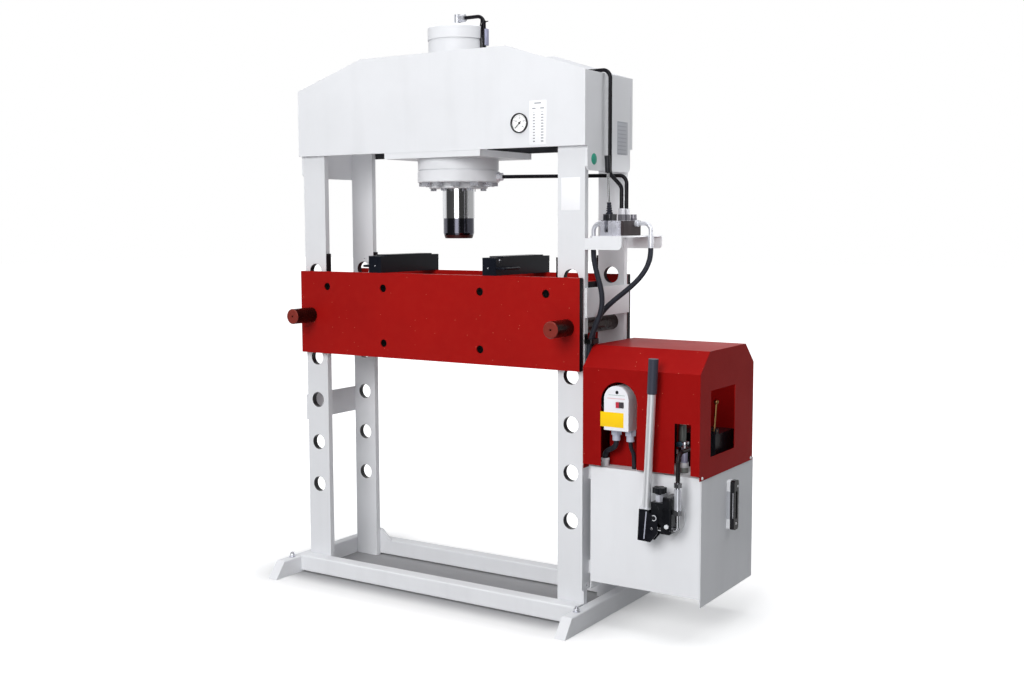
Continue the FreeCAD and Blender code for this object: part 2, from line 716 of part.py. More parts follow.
def tube_shape(points, diameter, bend):
    """A round bar bent along a path, its radii, and its length."""
    path, radii = path_through(points, bend)
    aim = points[1] - points[0]
    ring = Part.Wire(Part.Circle(points[0], aim, diameter / 2).toShape())
    shape = path.makePipeShell([ring], True, False)
    wanted = math.pi * diameter ** 2 / 4 * path.Length
    if abs(shape.Volume / wanted - 1) > 0.01:
        raise RuntimeError("a bent tube differs from its section times its length")
    return shape, radii, path.Length


def bent_pipe(points, diameter):
    """A steel pipe: every bend has the bender's radius."""
    return tube_shape(points, diameter, lambda a, b, half: number("pipe_bend"))[0]


def free_hose(name, points, diameter):
    """A hose in wide curves, as large as the runs between its points allow."""
    shape, radii, length = tube_shape(
        points, diameter, lambda a, b, half: 0.45 * min(a, b) / math.tan(half))
    print(name, "length", round(length), "radii", [round(r) for r in radii],
          "volume ratio", round(shape.Volume / (math.pi * diameter ** 2 / 4 * length), 4))
    return made(shape)


# ---------------------------------------------------------------- frame
def head_plates():
    """Front and rear plate of the head, with their sloped shoulders."""
    for name, offset in (("head_front_plate", "upright_front"),
                         ("head_rear_plate", "-head_depth / 2")):
        body = new_body()
        face = outline(sketch(body, "XZ_Plane", offset), [
            ("-head_half", "head_underside"), ("head_half", "head_underside"),
            ("head_half", "end_plate_top"),
            ("head_crown / 2", "head_underside + head_middle_rise"),
            ("-head_crown / 2", "head_underside + head_middle_rise"),
            ("-head_half", "end_plate_top")])
        pad(body, face, "head_plate")
        if name == "head_front_plate":
            hole = circle(sketch(body, "XZ_Plane"), "gauge_x", "gauge_height",
                          "gauge_body + 2 * seat_gap")
            pocket(body, hole)
        finish(body, name)


def head_end_plates():
    """Plates that close the head's ends and tie the uprights together below it."""
    for side, offset in (("left", "-head_half"), ("right", "upright_outer")):
        body = new_body()
        face = outline(sketch(body, "YZ_Plane", offset), [
            ("-upright_front", "head_underside - end_plate_drop + end_corner"),
            ("-upright_front + end_corner", "head_underside - end_plate_drop"),
            ("upright_front - end_corner", "head_underside - end_plate_drop"),
            ("upright_front", "head_underside - end_plate_drop + end_corner"),
            ("upright_front", "end_plate_top"), ("-upright_front", "end_plate_top")])
        pad(body, face, "end_plate")
        finish(body, "head_end_plate_" + side)


def ram_seat_plate():
    """Plate under the head: the cylinder hangs in it and is bolted to it."""
    body = new_body()
    plan = rectangle(sketch(body, "XY_Plane", "seat_face"), "-seat_plate_length / 2",
                     "seat_plate_length / 2", "-head_depth / 2", "head_depth / 2")
    pad(body, plan, "seat_plate")
    pocket(body, circle(sketch(body, "XY_Plane"), "0", "0",
                        "barrel_diameter + 2 * seat_gap"))
    bolt_holes(body, "ring_bolt", "ring_bolt_circle", "ring_bolts")
    finish(body, "ram_seat_plate")


def bolt_holes(body, thread, pitch_circle, count):
    """A ring of through holes for bolts, the first at the front."""
    first = circle(sketch(body, "XY_Plane"), "0", f"-{pitch_circle} / 2",
                   f"{thread} + 2 * seat_gap")
    ring_of(body, pocket(body, first), first, count)


def uprights():
    """Four flat bars, each with its row of pin holes."""
    for depth, offset in (("front", "upright_back"), ("rear", "-upright_front")):
        for side, sign in (("left", "-"), ("right", "")):
            body = new_body()
            middle = f"{sign}upright_x"
            face = rectangle(sketch(body, "XZ_Plane", offset),
                             f"{middle} - upright_width / 2",
                             f"{middle} + upright_width / 2", "0", "upright_top")
            pad(body, face, "upright_thickness")
            hole = circle(sketch(body, "XZ_Plane"), middle, "first_pin_height", "pin_hole")
            row_of(body, pocket(body, hole), hole, "V_Axis",
                   "pin_pitch * (pin_rows - 1)", "pin_rows")
            finish(body, f"upright_{depth}_{side}")


def tie_plates():
    """Flat plates on the outer faces, from each front upright to the rear one."""
    plates = []
    for x in ("-head_half", "upright_outer"):
        for height in ("lower_tie", "upper_tie"):
            plates.append(box(x, "-upright_front", f"{height} - tie_height / 2",
                              "end_plate", "2 * upright_front", "tie_height"))
    finish(several(plates), "tie_plates")


def feet():
    """Closed tubes on the floor with sloped ends and a bolt hole near each end."""
    for side, offset in (("left", "-foot_x - foot_width"), ("right", "foot_x")):
        body = new_body()
        profile = outline(sketch(body, "YZ_Plane", offset), [
            ("-foot_length / 2", "0"), ("foot_length / 2", "0"),
            ("foot_length / 2 - foot_slope", "foot_height"),
            ("-foot_length / 2 + foot_slope", "foot_height")])
        pad(body, profile, "foot_width")
        middle = "-foot_x - foot_width / 2" if side == "left" else "foot_x + foot_width / 2"
        holes = sketch(body, "XY_Plane")
        circle(holes, middle, "anchor_spread / 2", "anchor_hole")
        circle(holes, middle, "-anchor_spread / 2", "anchor_hole")
        pocket(body, holes)
        top = number("foot_height")
        ease(body, "foot_round", Y_AXIS, lambda c: abs(c.z - top) < 1)
        finish(body, "foot_" + side)


def base_beams():
    """Rectangular tubes from foot to foot, with gussets at the rear uprights."""
    beams = []
    for near in ("-upright_front - beam_depth", "upright_front"):
        body = new_body()
        section = sketch(body, "YZ_Plane", "-foot_x")
        rectangle(section, near, f"{near} + beam_depth", "beam_lift",
                  "beam_lift + beam_height")
        pad(body, section, "2 * foot_x")
        ease(body, "beam_round", X_AXIS)
        inside = rectangle(sketch(body, "YZ_Plane"), f"{near} + beam_wall",
                           f"{near} + beam_depth - beam_wall", "beam_lift + beam_wall",
                           "beam_lift + beam_height - beam_wall")
        pocket(body, inside)
        beams.append(body)
    gussets = []
    for side in ("-1", "1"):
        plate = new_body()
        low = "beam_lift + beam_height - beam_wall / 2"
        high = "beam_lift + beam_height + gusset_rise"
        covered = f"{side} * (upright_inner + gusset_cover)"
        corner = f"{side} * (upright_inner - gusset_flat)"
        tip = f"{side} * (upright_inner - gusset_reach)"
        face = outline(sketch(plate, "XZ_Plane", "-upright_front - gusset_sheet"), [
            (covered, low), (tip, low), (corner, high), (covered, high)])
        pad(plate, face, "gusset_sheet")
        gussets.append(plate)
    finish(several([beams[0], fuse([beams[1]] + gussets)]), "base_beams")


# ---------------------------------------------------------------- cylinder and ram
def cylinder():
    """Barrel with its flange, cap, clamping ring and gland."""
    barrel = turned([
        ("bore / 2", "flange_face"), ("flange_diameter / 2", "flange_face"),
        ("flange_diameter / 2", "seat_face"), ("barrel_diameter / 2", "seat_face"),
        ("barrel_diameter / 2", "barrel_top"), ("bore / 2", "barrel_top")])
    bolt_holes(barrel, "ring_bolt", "ring_bolt_circle", "ring_bolts")
    finish(barrel, "cylinder_barrel")

    cap = turned([
        ("0", "barrel_top - cap_spigot"),
        ("bore / 2 - running_gap", "barrel_top - cap_spigot"),
        ("bore / 2 - running_gap", "barrel_top"), ("cap_neck_diameter / 2", "barrel_top"),
        ("cap_neck_diameter / 2", "cap_bottom"), ("cap_diameter / 2", "cap_bottom"),
        ("cap_diameter / 2", "cap_top - cap_chamfer"),
        ("cap_diameter / 2 - cap_chamfer", "cap_top"),
        ("port_thread / 2 + seat_gap", "cap_top"),
        ("port_thread / 2 + seat_gap", "cap_top - port_depth - seat_gap"),
        ("0", "cap_top - port_depth - seat_gap")])
    finish(cap, "cylinder_cap")

    ring = turned([
        ("bore / 2", "ring_face"), ("ring_diameter / 2 - 3", "ring_face"),
        ("ring_diameter / 2", "ring_face + 3"),
        ("ring_diameter / 2", "flange_face - groove_height"),
        ("ring_diameter / 2 - groove_depth", "flange_face - groove_height"),
        ("ring_diameter / 2 - groove_depth", "flange_face"), ("bore / 2", "flange_face")])
    bolt_holes(ring, "ring_bolt", "ring_bolt_circle", "ring_bolts")
    bolt_holes(ring, "gland_bolt", "gland_bolt_circle", "gland_bolts")
    port = round_bar("port_thread + 2 * seat_gap", "2 * port_depth", along=ALONG_X)
    bind(port, Placement__Base__x="(ring_diameter / 2 - port_depth) * cos(ring_port_angle * 1 deg)",
         Placement__Base__y="(ring_diameter / 2 - port_depth) * sin(ring_port_angle * 1 deg)",
         Placement__Base__z="ring_port_height")
    port.Placement.Rotation = port_direction()
    finish(cut(ring, [port]), "cylinder_ring")

    gland = turned([
        ("rod_diameter / 2 + running_gap", "gland_face"),
        ("gland_diameter / 2 - 2", "gland_face"), ("gland_diameter / 2", "gland_face + 2"),
        ("gland_diameter / 2", "ring_face"), ("bore / 2 - running_gap", "ring_face"),
        ("bore / 2 - running_gap", "ring_face + gland_spigot"),
        ("rod_diameter / 2 + running_gap", "ring_face + gland_spigot")])
    bolt_holes(gland, "gland_bolt", "gland_bolt_circle", "gland_bolts")
    finish(gland, "cylinder_gland")


def port_direction():
    """Out of the clamping ring's port, level, turned from +X to the back."""
    return Rotation(Z_AXIS, number("ring_port_angle")).multiply(ALONG_X)


def cylinder_bolts():
    """Bolts of the clamping ring and of the gland, all with their heads down."""
    bolts = []
    for stem, face, through in (
            ("ring", "ring_face", "ring_thickness + flange_thickness + ring_bolt_grip"),
            ("gland", "gland_face", "gland_thickness + gland_bolt_grip")):
        count = int(number(stem + "_bolts"))
        for k in range(count):
            x = f"{stem}_bolt_circle / 2 * sin({k} * 360 deg / {stem}_bolts)"
            y = f"-{stem}_bolt_circle / 2 * cos({k} * 360 deg / {stem}_bolts)"
            head = hexagon(f"{stem}_bolt_across", f"{stem}_bolt_head", x, y,
                           f"{face} - {stem}_bolt_head")
            shank = round_bar(f"{stem}_bolt", through, x, y, face)
            bolts.append(fuse([head, shank]))
    finish(several(bolts), "cylinder_bolts")


def ram():
    """Piston, chromed rod and nose: they move as one."""
    finish(turned([
        ("rod_spigot / 2 + running_gap", "piston_bottom"),
        ("bore / 2 - running_gap", "piston_bottom"),
        ("bore / 2 - running_gap", "piston_bottom + (piston_height - seal_width) / 2"),
        ("bore / 2 - seal_depth", "piston_bottom + (piston_height - seal_width) / 2"),
        ("bore / 2 - seal_depth", "piston_bottom + (piston_height + seal_width) / 2"),
        ("bore / 2 - running_gap", "piston_bottom + (piston_height + seal_width) / 2"),
        ("bore / 2 - running_gap", "piston_bottom + piston_height"),
        ("rod_spigot / 2 + running_gap", "piston_bottom + piston_height")]), "piston")
    finish(turned([
        ("0", "nose_top - nose_spigot_length"),
        ("nose_spigot / 2", "nose_top - nose_spigot_length"),
        ("nose_spigot / 2", "nose_top"), ("rod_diameter / 2", "nose_top"),
        ("rod_diameter / 2", "piston_bottom"), ("rod_spigot / 2", "piston_bottom"),
        ("rod_spigot / 2", "piston_bottom + piston_height"),
        ("0", "piston_bottom + piston_height")]), "ram_rod")
    finish(turned([
        ("0", "nose_bottom"), ("nose_tip_diameter / 2", "nose_bottom"),
        ("nose_diameter / 2", "nose_bottom + nose_taper"), ("nose_diameter / 2", "nose_top"),
        ("nose_spigot / 2 + running_gap", "nose_top"),
        ("nose_spigot / 2 + running_gap", "nose_top - nose_spigot_length - seat_gap"),
        ("0", "nose_top - nose_spigot_length - seat_gap")]), "ram_nose")


# ---------------------------------------------------------------- pipes and gauge
def port_fittings():
    """Elbow on the cap and straight union in the clamping ring, with their nuts."""
    pipe_axis = "cap_top + top_pipe_height"
    elbow = fuse([
        round_bar("port_thread", "port_depth + 1", z="cap_top - port_depth"),
        hexagon("port_nut_across", "port_body / 2", z="cap_top"),
        round_bar("port_body", "top_elbow_height - port_body / 2",
                  z="cap_top + port_body / 2"),
        round_bar("port_thread - 4", "port_body", z=pipe_axis, along=ALONG_X),
        hexagon("port_nut_across", "port_nut", "port_body * 0.6", "0", pipe_axis, ALONG_X)])
    start = number("ring_diameter") / 2
    union = fuse([
        round_bar("port_thread", "port_depth"),
        hexagon("port_nut_across + 4", "ring_port_reach / 2", z="port_depth"),
        hexagon("port_nut_across", "ring_port_reach / 2",
                z="port_depth + ring_port_reach / 2")])
    turn = port_direction()
    out = turn.multVec(Z_AXIS)
    union.Placement = Placement(out * (start - number("port_depth"))
                                + Z_AXIS * number("ring_port_height"), turn)
    finish(several([elbow, union]), "port_fittings")


def pressure_pipes():
    """Steel pipes from the two cylinder ports to the valve's work ports."""
    top = number("cap_top") + number("top_pipe_height")
    riser, cross = number("riser_offset"), number("cross_height")
    drop_x, drop_y, turn_z = number("drop_x"), number("drop_y"), number("drop_turn")
    valve_x, nut_top = number("valve_x"), number("nut_top")
    nut_end = number("port_body") * 0.6 + number("port_nut")
    upper = bent_pipe([
        Vector(nut_end, 0, top), Vector(riser, 0, top), Vector(riser, 0, cross),
        Vector(drop_x, drop_y, cross), Vector(drop_x, drop_y, turn_z),
        Vector(valve_x, number("port_a_y"), turn_z - number("drop_slant")),
        Vector(valve_x, number("port_a_y"), nut_top)], number("pipe_diameter"))
    finish(made(upper), "upper_pipe")

    out = port_direction().multVec(Z_AXIS)
    ring_end = number("ring_diameter") / 2 + number("ring_port_reach")
    low = number("lower_run_height")
    port = out * ring_end + Z_AXIS * number("ring_port_height")
    knee = out * (ring_end + number("ring_port_run")) + Z_AXIS * number("ring_port_height")
    lower = bent_pipe([
        port, knee, Vector(valve_x, number("port_b_y"), low),
        Vector(valve_x, number("port_b_y"), nut_top)], number("pipe_diameter"))
    finish(made(lower), "lower_pipe")


def pressure_gauge():
    """Case in the head's front plate, glass, and the pointer on its spindle."""
    front = "-head_depth / 2 - gauge_bezel"
    facing = Rotation(Vector(1, 0, 0), 90)
    case = turned([
        ("needle_spindle / 2 + running_gap", "-gauge_recess"),
        ("gauge_diameter / 2 - gauge_rim", "-gauge_recess"),
        ("gauge_diameter / 2 - gauge_rim", "0"), ("gauge_diameter / 2", "0"),
        ("gauge_diameter / 2", "-gauge_bezel"), ("gauge_body / 2", "-gauge_bezel"),
        ("gauge_body / 2", "-gauge_depth"), ("port_thread / 2", "-gauge_depth"),
        ("port_thread / 2", "-gauge_depth - port_depth"), ("0", "-gauge_depth - port_depth"),
        ("0", "-gauge_recess - 8"),
        ("needle_spindle / 2 + running_gap", "-gauge_recess - 8")],
        "gauge_x", front, "gauge_height", facing)
    finish(case, "gauge_case")
    glass = round_bar("gauge_diameter - 2 * gauge_rim - 2 * seat_gap", "gauge_glass",
                      "gauge_x", f"{front} + 0.6", "gauge_height", ALONG_Y)
    finish(glass, "gauge_glass")
    hub = round_bar("needle_hub", "2", "0", "-2.8", along=ALONG_Y)
    spindle = round_bar("needle_spindle", "8", "0", "-1", along=ALONG_Y)
    pointer = box("-needle_tail", "-2.4", "-needle_width / 2",
                  "needle_length + needle_tail", "0.8", "needle_width")
    needle = fuse([hub, spindle, pointer])
    needle.Placement.Rotation = Rotation(Vector(0, -1, 0), number("needle_angle"))
    bind(needle, Placement__Base__x="gauge_x",
         Placement__Base__y=f"{front} + gauge_recess", Placement__Base__z="gauge_height")
    finish(needle, "gauge_needle")


# ---------------------------------------------------------------- valve
def valve_bracket():
    """Sheet folded into a shelf between the right uprights."""
    body = new_body()
    section = outline(sketch(body, "YZ_Plane", "upright_outer"), [
        ("-upright_front", "bracket_underside"),
        ("-upright_front + bracket_sheet", "bracket_underside"),
        ("-upright_front + bracket_sheet", "bracket_top - bracket_sheet"),
        ("upright_front - bracket_sheet", "bracket_top - bracket_sheet"),
        ("upright_front - bracket_sheet", "bracket_underside"),
        ("upright_front", "bracket_underside"), ("upright_front", "bracket_top"),
        ("-upright_front", "bracket_top")])
    pad(body, section, "bracket_reach")
    right, low = number("bracket_right"), number("bracket_underside")
    ease(body, "bracket_corner", Y_AXIS,
         lambda c: abs(c.x - right) < 1 and abs(c.z - low) < 1)
    notch = rectangle(sketch(body, "XZ_Plane"), "upright_outer - 1",
                      "upright_outer + bracket_notch", "bracket_top - bracket_step",
                      "bracket_top + 1")
    pocket(body, notch)
    finish(body, "valve_bracket")


def valve_body():
    """Cast body: spool bore, two work ports and the relief plug on top."""
    body = new_body()
    plan = rectangle(sketch(body, "XY_Plane", "bracket_top"), "valve_x - valve_width / 2",
                     "valve_x + valve_width / 2", "valve_front", "valve_back")
    pad(body, plan, "valve_height")
    ease(body, "valve_round", Z_AXIS)
    bore = circle(sketch(body, "XZ_Plane", "-valve_front"), "valve_x", "spool_axis",
                  "spool_diameter + 2 * running_gap")
    pocket(body, bore, "valve_back - valve_front - 10")
    finish(body, "valve_body")


def valve_lever_housing():
    """Light casting on the front of the valve, with the fork that holds the lever."""
    left = "valve_x - housing_width / 2"
    block = box(left, "housing_front", "bracket_top", "housing_width", "housing_length",
                "valve_height")
    fork = box("valve_x - fork_width / 2", "lever_y - fork_width / 2", "valve_top",
               "fork_width", "fork_width", "fork_height")
    slot = box("valve_x - lever_slot / 2", "lever_y - fork_width", "spool_axis - 3",
               "lever_slot", "2 * fork_width", "valve_height + fork_height")
    bore = round_bar("spool_diameter + 2 * running_gap", "housing_length", "valve_x",
                     "housing_front + 6", "spool_axis", ALONG_Y)
    pivot = round_bar("lever_pivot + 2 * running_gap", "housing_width + 2",
                      "valve_x - housing_width / 2 - 1", "lever_y", "lever_axis", ALONG_X)
    finish(cut(fuse([block, fork]), [slot, bore, pivot]), "valve_lever_housing")


def valve_lever():
    """Hand lever: pivot pin, rod and grip, and the small end in the spool."""
    top = "lever_top - lever_axis"
    rod = fuse([
        round_bar("lever_rod", f"{top} - lever_grip_length + 10", z="-lever_arm * 0.3"),
        round_bar("lever_rod / 2", "lever_arm", z="-lever_arm"),
        ball("lever_rod", "0", "0", "-lever_arm"),
        round_bar("lever_pivot", "housing_width", "-housing_width / 2", "0", "0", ALONG_X),
        round_bar("lever_grip", "lever_grip_length", z=f"{top} - lever_grip_length")])
    lean_from_pivot(rod)
    finish(rod, "valve_lever")
    boot = turned([
        ("lever_rod / 2 + running_gap", "boot_bottom - lever_axis"),
        ("boot_diameter / 2", "boot_bottom - lever_axis"),
        ("boot_diameter / 2 - 1.5", "boot_bottom - lever_axis + boot_length * 0.25"),
        ("boot_diameter / 2", "boot_bottom - lever_axis + boot_length * 0.4"),
        ("boot_diameter / 2 - 2", "boot_bottom - lever_axis + boot_length * 0.6"),
        ("boot_diameter / 2 - 1", "boot_bottom - lever_axis + boot_length * 0.75"),
        ("lever_rod / 2 + 1", "boot_bottom - lever_axis + boot_length"),
        ("lever_rod / 2 + running_gap", "boot_bottom - lever_axis + boot_length")])
    lean_from_pivot(boot)
    finish(boot, "lever_boot")


def lean_from_pivot(thing):
    """Turns a piece of the lever about its pivot, to lean to the front."""
    thing.Placement.Rotation = Rotation(X_AXIS, number("lever_lean"))
    bind(thing, Placement__Base__x="valve_x", Placement__Base__y="lever_y",
         Placement__Base__z="lever_axis")


def valve_spool():
    """Round spool through the valve, with a groove for the lever's end."""
    start = "lever_y - spool_groove"
    bar = round_bar("spool_diameter", "spool_length", "valve_x", start, "spool_axis", ALONG_Y)
    groove = box("valve_x - spool_diameter",
                 "lever_y + lever_arm * sin(lever_lean * 1 deg) - spool_groove / 2",
                 "spool_axis - spool_groove / 2", "2 * spool_diameter", "spool_groove",
                 "spool_diameter * 2")
    lands = []
    for place in ("spool_neck_start", "spool_neck_start + spool_neck_pitch"):
        ring, core = [round_bar(f"spool_diameter {change}", "spool_neck", "valve_x",
                                f"{start} + {place}", "spool_axis", ALONG_Y)
                      for change in ("+ 2", "- 5")]
        lands.append(cut(ring, [core]))
    finish(cut(bar, [groove] + lands), "valve_spool")


def swept_elbow(start, corner, end):
    """Bent steel end of a hose: nut at the valve, arc, and the crimped ferrule."""
    tube = tube_shape([start, corner, end], number("elbow_tube"),
                      lambda a, b, half: number("elbow_bend"))[0]
    ferrule = Part.makeCylinder(number("ferrule_diameter") / 2, number("ferrule_length"),
                                end - Z_AXIS * number("ferrule_length"), Z_AXIS)
    aim = corner - start
    aim.normalize()
    nut = Part.makeCylinder(number("elbow_tube") / 2 + 4, 9, start, aim)
    return tube.fuse([ferrule, nut]).removeSplitter()


def valve_fittings():
    """Adapters and union nuts on the ports, relief plug, and the two hose elbows."""
    pieces = []
    for place in ("port_a_y", "port_b_y"):
        pieces.append(fuse([
            hexagon("adapter_across", "adapter_height", "valve_x", place, "valve_top"),
            hexagon("port_nut_across - 3", "port_nut", "valve_x", place, "adapter_top")]))
    pieces.append(fuse([
        hexagon("relief_across", "relief_height * 0.4", "relief_x", "relief_y", "valve_top"),
        round_bar("relief_across - 0.5", "relief_height * 0.6", "relief_x", "relief_y",
                  "valve_top + relief_height * 0.4")]))
    level, low = number("elbow_height"), number("hose_start") + number("ferrule_length")
    housing_left = number("valve_x") - number("housing_width") / 2
    body_right = number("valve_x") + number("valve_width") / 2
    for start_x, x, y in (
            (housing_left, number("left_elbow_x"), number("left_elbow_y")),
            (body_right, number("right_elbow_x"), number("right_elbow_y"))):
        pieces.append(made(swept_elbow(Vector(start_x, y, level), Vector(x, y, level),
                                       Vector(x, y, low))))
    finish(several(pieces), "valve_fittings")


# Routes of the two hoses between their ferrules on the valve and the stubs on the
# tank: down beside the upright, through the clamp, and in at the cover's left side.
PRESSURE_ROUTE = [
    (569.5, -105, 1134), (573, -106, 1108), (582.5, -109, 1078), (595, -112, 1046),
    (604.5, -115.5, 1014), (607.5, -119, 982), (601.5, -122.5, 950), (589.5, -125.5, 918),
    (577, -128, 888), (568.8, -129.5, 859), (567.5, -130, 828), (567.5, -129.6, 790),
    (572, -127, 756), (583, -121, 723), (600, -113, 693), (618, -104, 664),
    (632, -97, 632), (639, -94.5, 604)]
RETURN_ROUTE = [
    (696, 26, 1136), (693.9, 23.8, 1114), (686.6, 16.2, 1088), (673.8, 2.9, 1062),
    (655.8, -15.8, 1037), (637.2, -35.1, 1016), (619.2, -53.8, 997), (599, -74.9, 973),
    (583.8, -90.7, 947), (574, -100.9, 920), (569, -106.1, 893), (567.6, -107.5, 865),
    (567.5, -107, 830), (567.5, -106, 794), (571, -103, 758), (581, -96, 724),
    (596, -87, 692), (611, -78.5, 660), (621, -73.5, 626)]
PRESSURE_STUB = (640, -94)
RETURN_STUB = (625, -72)


def hoses():
    diameter = number("hose_diameter")
    start_z, end_z = number("hose_start"), number("hose_end")
    for name, start, route, stub in (
            ("pressure_hose", ("left_elbow_x", "left_elbow_y"), PRESSURE_ROUTE, PRESSURE_STUB),
            ("return_hose", ("right_elbow_x", "right_elbow_y"), RETURN_ROUTE, RETURN_STUB)):
        points = [Vector(number(start[0]), number(start[1]), start_z)]
        points += [Vector(*point) for point in route]
        points.append(Vector(stub[0], stub[1], end_z + 30))
        points.append(Vector(stub[0], stub[1], end_z))
        hose = free_hose(name, points, diameter)
        finish(hose, name)


def hose_clamp():
    """Strap round both hoses, bolted to the edge of the upright."""
    sheet, width = number("clamp_sheet"), number("clamp_width")
    face, low = number("upright_outer"), number("clamp_height") - number("clamp_width") / 2
    front, back, right = number("clamp_front"), number("clamp_back"), number("clamp_right")
    outer = Part.makeBox(right - face, back - front, width, Vector(face, front, low))
    outer = outer.makeFillet(number("clamp_round"), [
        edge for edge in outer.Edges
        if abs(edge.CenterOfMass.x - right) < 0.01 and len(edge.Vertexes) == 2
        and abs(edge.Vertexes[0].Z - edge.Vertexes[1].Z) > 1])
    inner = Part.makeBox(right - face - sheet, back - front - 2 * sheet, width,
                         Vector(face, front + sheet, low))
    inner = inner.makeFillet(number("clamp_round") - sheet, [
        edge for edge in inner.Edges
        if abs(edge.CenterOfMass.x - right + sheet) < 0.01 and len(edge.Vertexes) == 2
        and abs(edge.Vertexes[0].Z - edge.Vertexes[1].Z) > 1])
    tab = Part.makeBox(sheet, 19, width + 15, Vector(face, front + sheet / 2, low))
    bolt = Part.makeCylinder(5, 5, Vector(face, front + 11.5, low + width + 9), X_AXIS)
    strap = outer.cut(inner).fuse([tab, bolt]).removeSplitter()
    finish(made(strap), "hose_clamp")


# ---------------------------------------------------------------- table
SCREWS = [("spacer_x", "screw_upper"), ("spacer_x", "screw_lower"),
          ("end_spacer_x", "screw_upper")]


def table_plates():
    """Two tall plates, one on each side of the uprights, with their pin holes."""
    for name, offset, outward in (("front", "table_inside", True),
                                  ("rear", "-table_front", False)):
        body = new_body()
        face = rectangle(sketch(body, "XZ_Plane", offset), "-table_half", "table_half",
                         "table_bottom", "table_top")
        pad(body, face, "table_plate")
        holes, sinks = sketch(body, "XZ_Plane"), sketch(
            body, "XZ_Plane", "table_front" if outward else "-table_front")
        for sign in ("-", ""):
            circle(holes, f"{sign}upright_x", "pin_height", "pin_hole")
            for across, drop in SCREWS:
                circle(holes, f"{sign}{across}", f"table_top - {drop}",
                       "screw_diameter + 2 * seat_gap")
                circle(sinks, f"{sign}{across}", f"table_top - {drop}", "screw_head + 2")
        pocket(body, holes)
        pocket(body, sinks, "screw_head_height + screw_sink", reverse=not outward)
        finish(body, f"table_{name}_plate")


def table_spacers():
    """Cross pieces between the table plates; the outer ones carry the guide strips."""
    pieces = []
    deep = "2 * table_inside"
    for sign in ("-", ""):
        inner = box(f"{sign}spacer_x - spacer_thickness / 2", "-table_inside",
                    "table_bottom + spacer_margin", "spacer_thickness", deep,
                    "table_height - 2 * spacer_margin")
        pieces.append(cut(inner, [screw_hole(sign, a, d) for a, d in SCREWS[:2]]))
        outer_face = "upright_inner - guide_gap - guide_thickness"
        half = f"({outer_face} - end_spacer_x)"
        block = box(f"{sign}end_spacer_x - {half}", "-table_inside",
                    "table_top - screw_upper - end_spacer_height / 2", f"2 * {half}", deep,
                    "end_spacer_height")
        strips = []
        strip_x = ("-upright_inner + guide_gap" if sign else outer_face)
        for y in ("-upright_front + 1", "upright_front - 1 - guide_width"):
            strips.append(box(strip_x, y, "table_top - guide_drop", "guide_thickness",
                              "guide_width", "guide_drop + guide_rise"))
        pieces.append(cut(fuse([block] + strips), [screw_hole(sign, *SCREWS[2])]))
    finish(several(pieces), "table_spacers")


def screw_hole(sign, across, drop):
    return round_bar("screw_diameter + 2 * seat_gap", "3 * table_inside", f"{sign}{across}",
                     "-1.5 * table_inside", f"table_top - {drop}", ALONG_Y)


def table_screws():
    """Socket screws, sunk in both table plates."""
    screws = []
    for sign in ("-", ""):
        for across, drop in SCREWS:
            for front in (True, False):
                x, z = f"{sign}{across}", f"table_top - {drop}"
                seat = "table_front - screw_sink - screw_head_height"
                if front:
                    head_y, shank_y = f"-({seat}) - screw_head_height", f"-({seat})"
                else:
                    head_y, shank_y = seat, f"{seat} - screw_length"
                head = round_bar("screw_head", "screw_head_height", x, head_y, z, ALONG_Y)
                socket_y = head_y if front else f"{head_y} + screw_head_height / 2"
                socket = hexagon("screw_head / 2", "screw_head_height / 2", x, socket_y, z,
                                 ALONG_Y)
                shank = round_bar("screw_diameter", "screw_length", x, shank_y, z, ALONG_Y)
                screws.append(fuse([cut(head, [socket]), shank]))
    finish(several(screws), "table_screws")


def table_pins():
    """Long pins through both table plates and both uprights of a side."""
    for side, sign in (("left", "-"), ("right", "")):
        length = "2 * table_front + pin_reach + pin_rear_reach"
        pin = turned([
            ("0", "4"), ("2", "4"), ("4", "0"), ("pin_diameter / 2 - pin_chamfer", "0"),
            ("pin_diameter / 2", "pin_chamfer"),
            ("pin_diameter / 2", f"{length} - pin_chamfer"),
            ("pin_diameter / 2 - pin_chamfer", length), ("0", length)],
            f"{sign}upright_x", "-table_front - pin_reach", "pin_height", ALONG_Y)
        finish(pin, "table_pin_" + side)


def support_blocks():
    """Two loose bars across the table plates, raised in the middle, with a handle."""
    for side, sign in (("left", "-"), ("right", "")):
        body = new_body()
        profile = outline(sketch(body, "YZ_Plane", f"{sign}block_x - block_width / 2"), [
            ("-table_front", "table_top"), ("table_front", "table_top"),
            ("table_front", "table_top + block_height"),
            ("table_front - block_end", "table_top + block_height"),
            ("table_front - block_end", "table_top + block_height + block_crown"),
            ("-table_front + block_end", "table_top + block_height + block_crown"),
            ("-table_front + block_end", "table_top + block_height"),
            ("-table_front", "table_top + block_height")])
        pad(body, profile, "block_width")
        ease(body, "block_chamfer", Z_AXIS, chamfer=True)
        inner = number("table_front") - number("handle_rod")
        outward = -1 if side == "left" else 1
        face = outward * (number("block_x") + number("block_width") / 2)
        out = face + outward * number("handle_reach")
        level = number("table_top") + number("handle_height")
        back = inner - number("handle_length")
        rod = tube_shape([
            Vector(face - outward, -inner, level), Vector(out, -inner, level),
            Vector(out, -back, level), Vector(face - outward, -back, level)],
            number("handle_rod"), lambda a, b, half: number("handle_rod"))[0]
        finish(fuse([body, made(rod)]), "support_block_" + side)


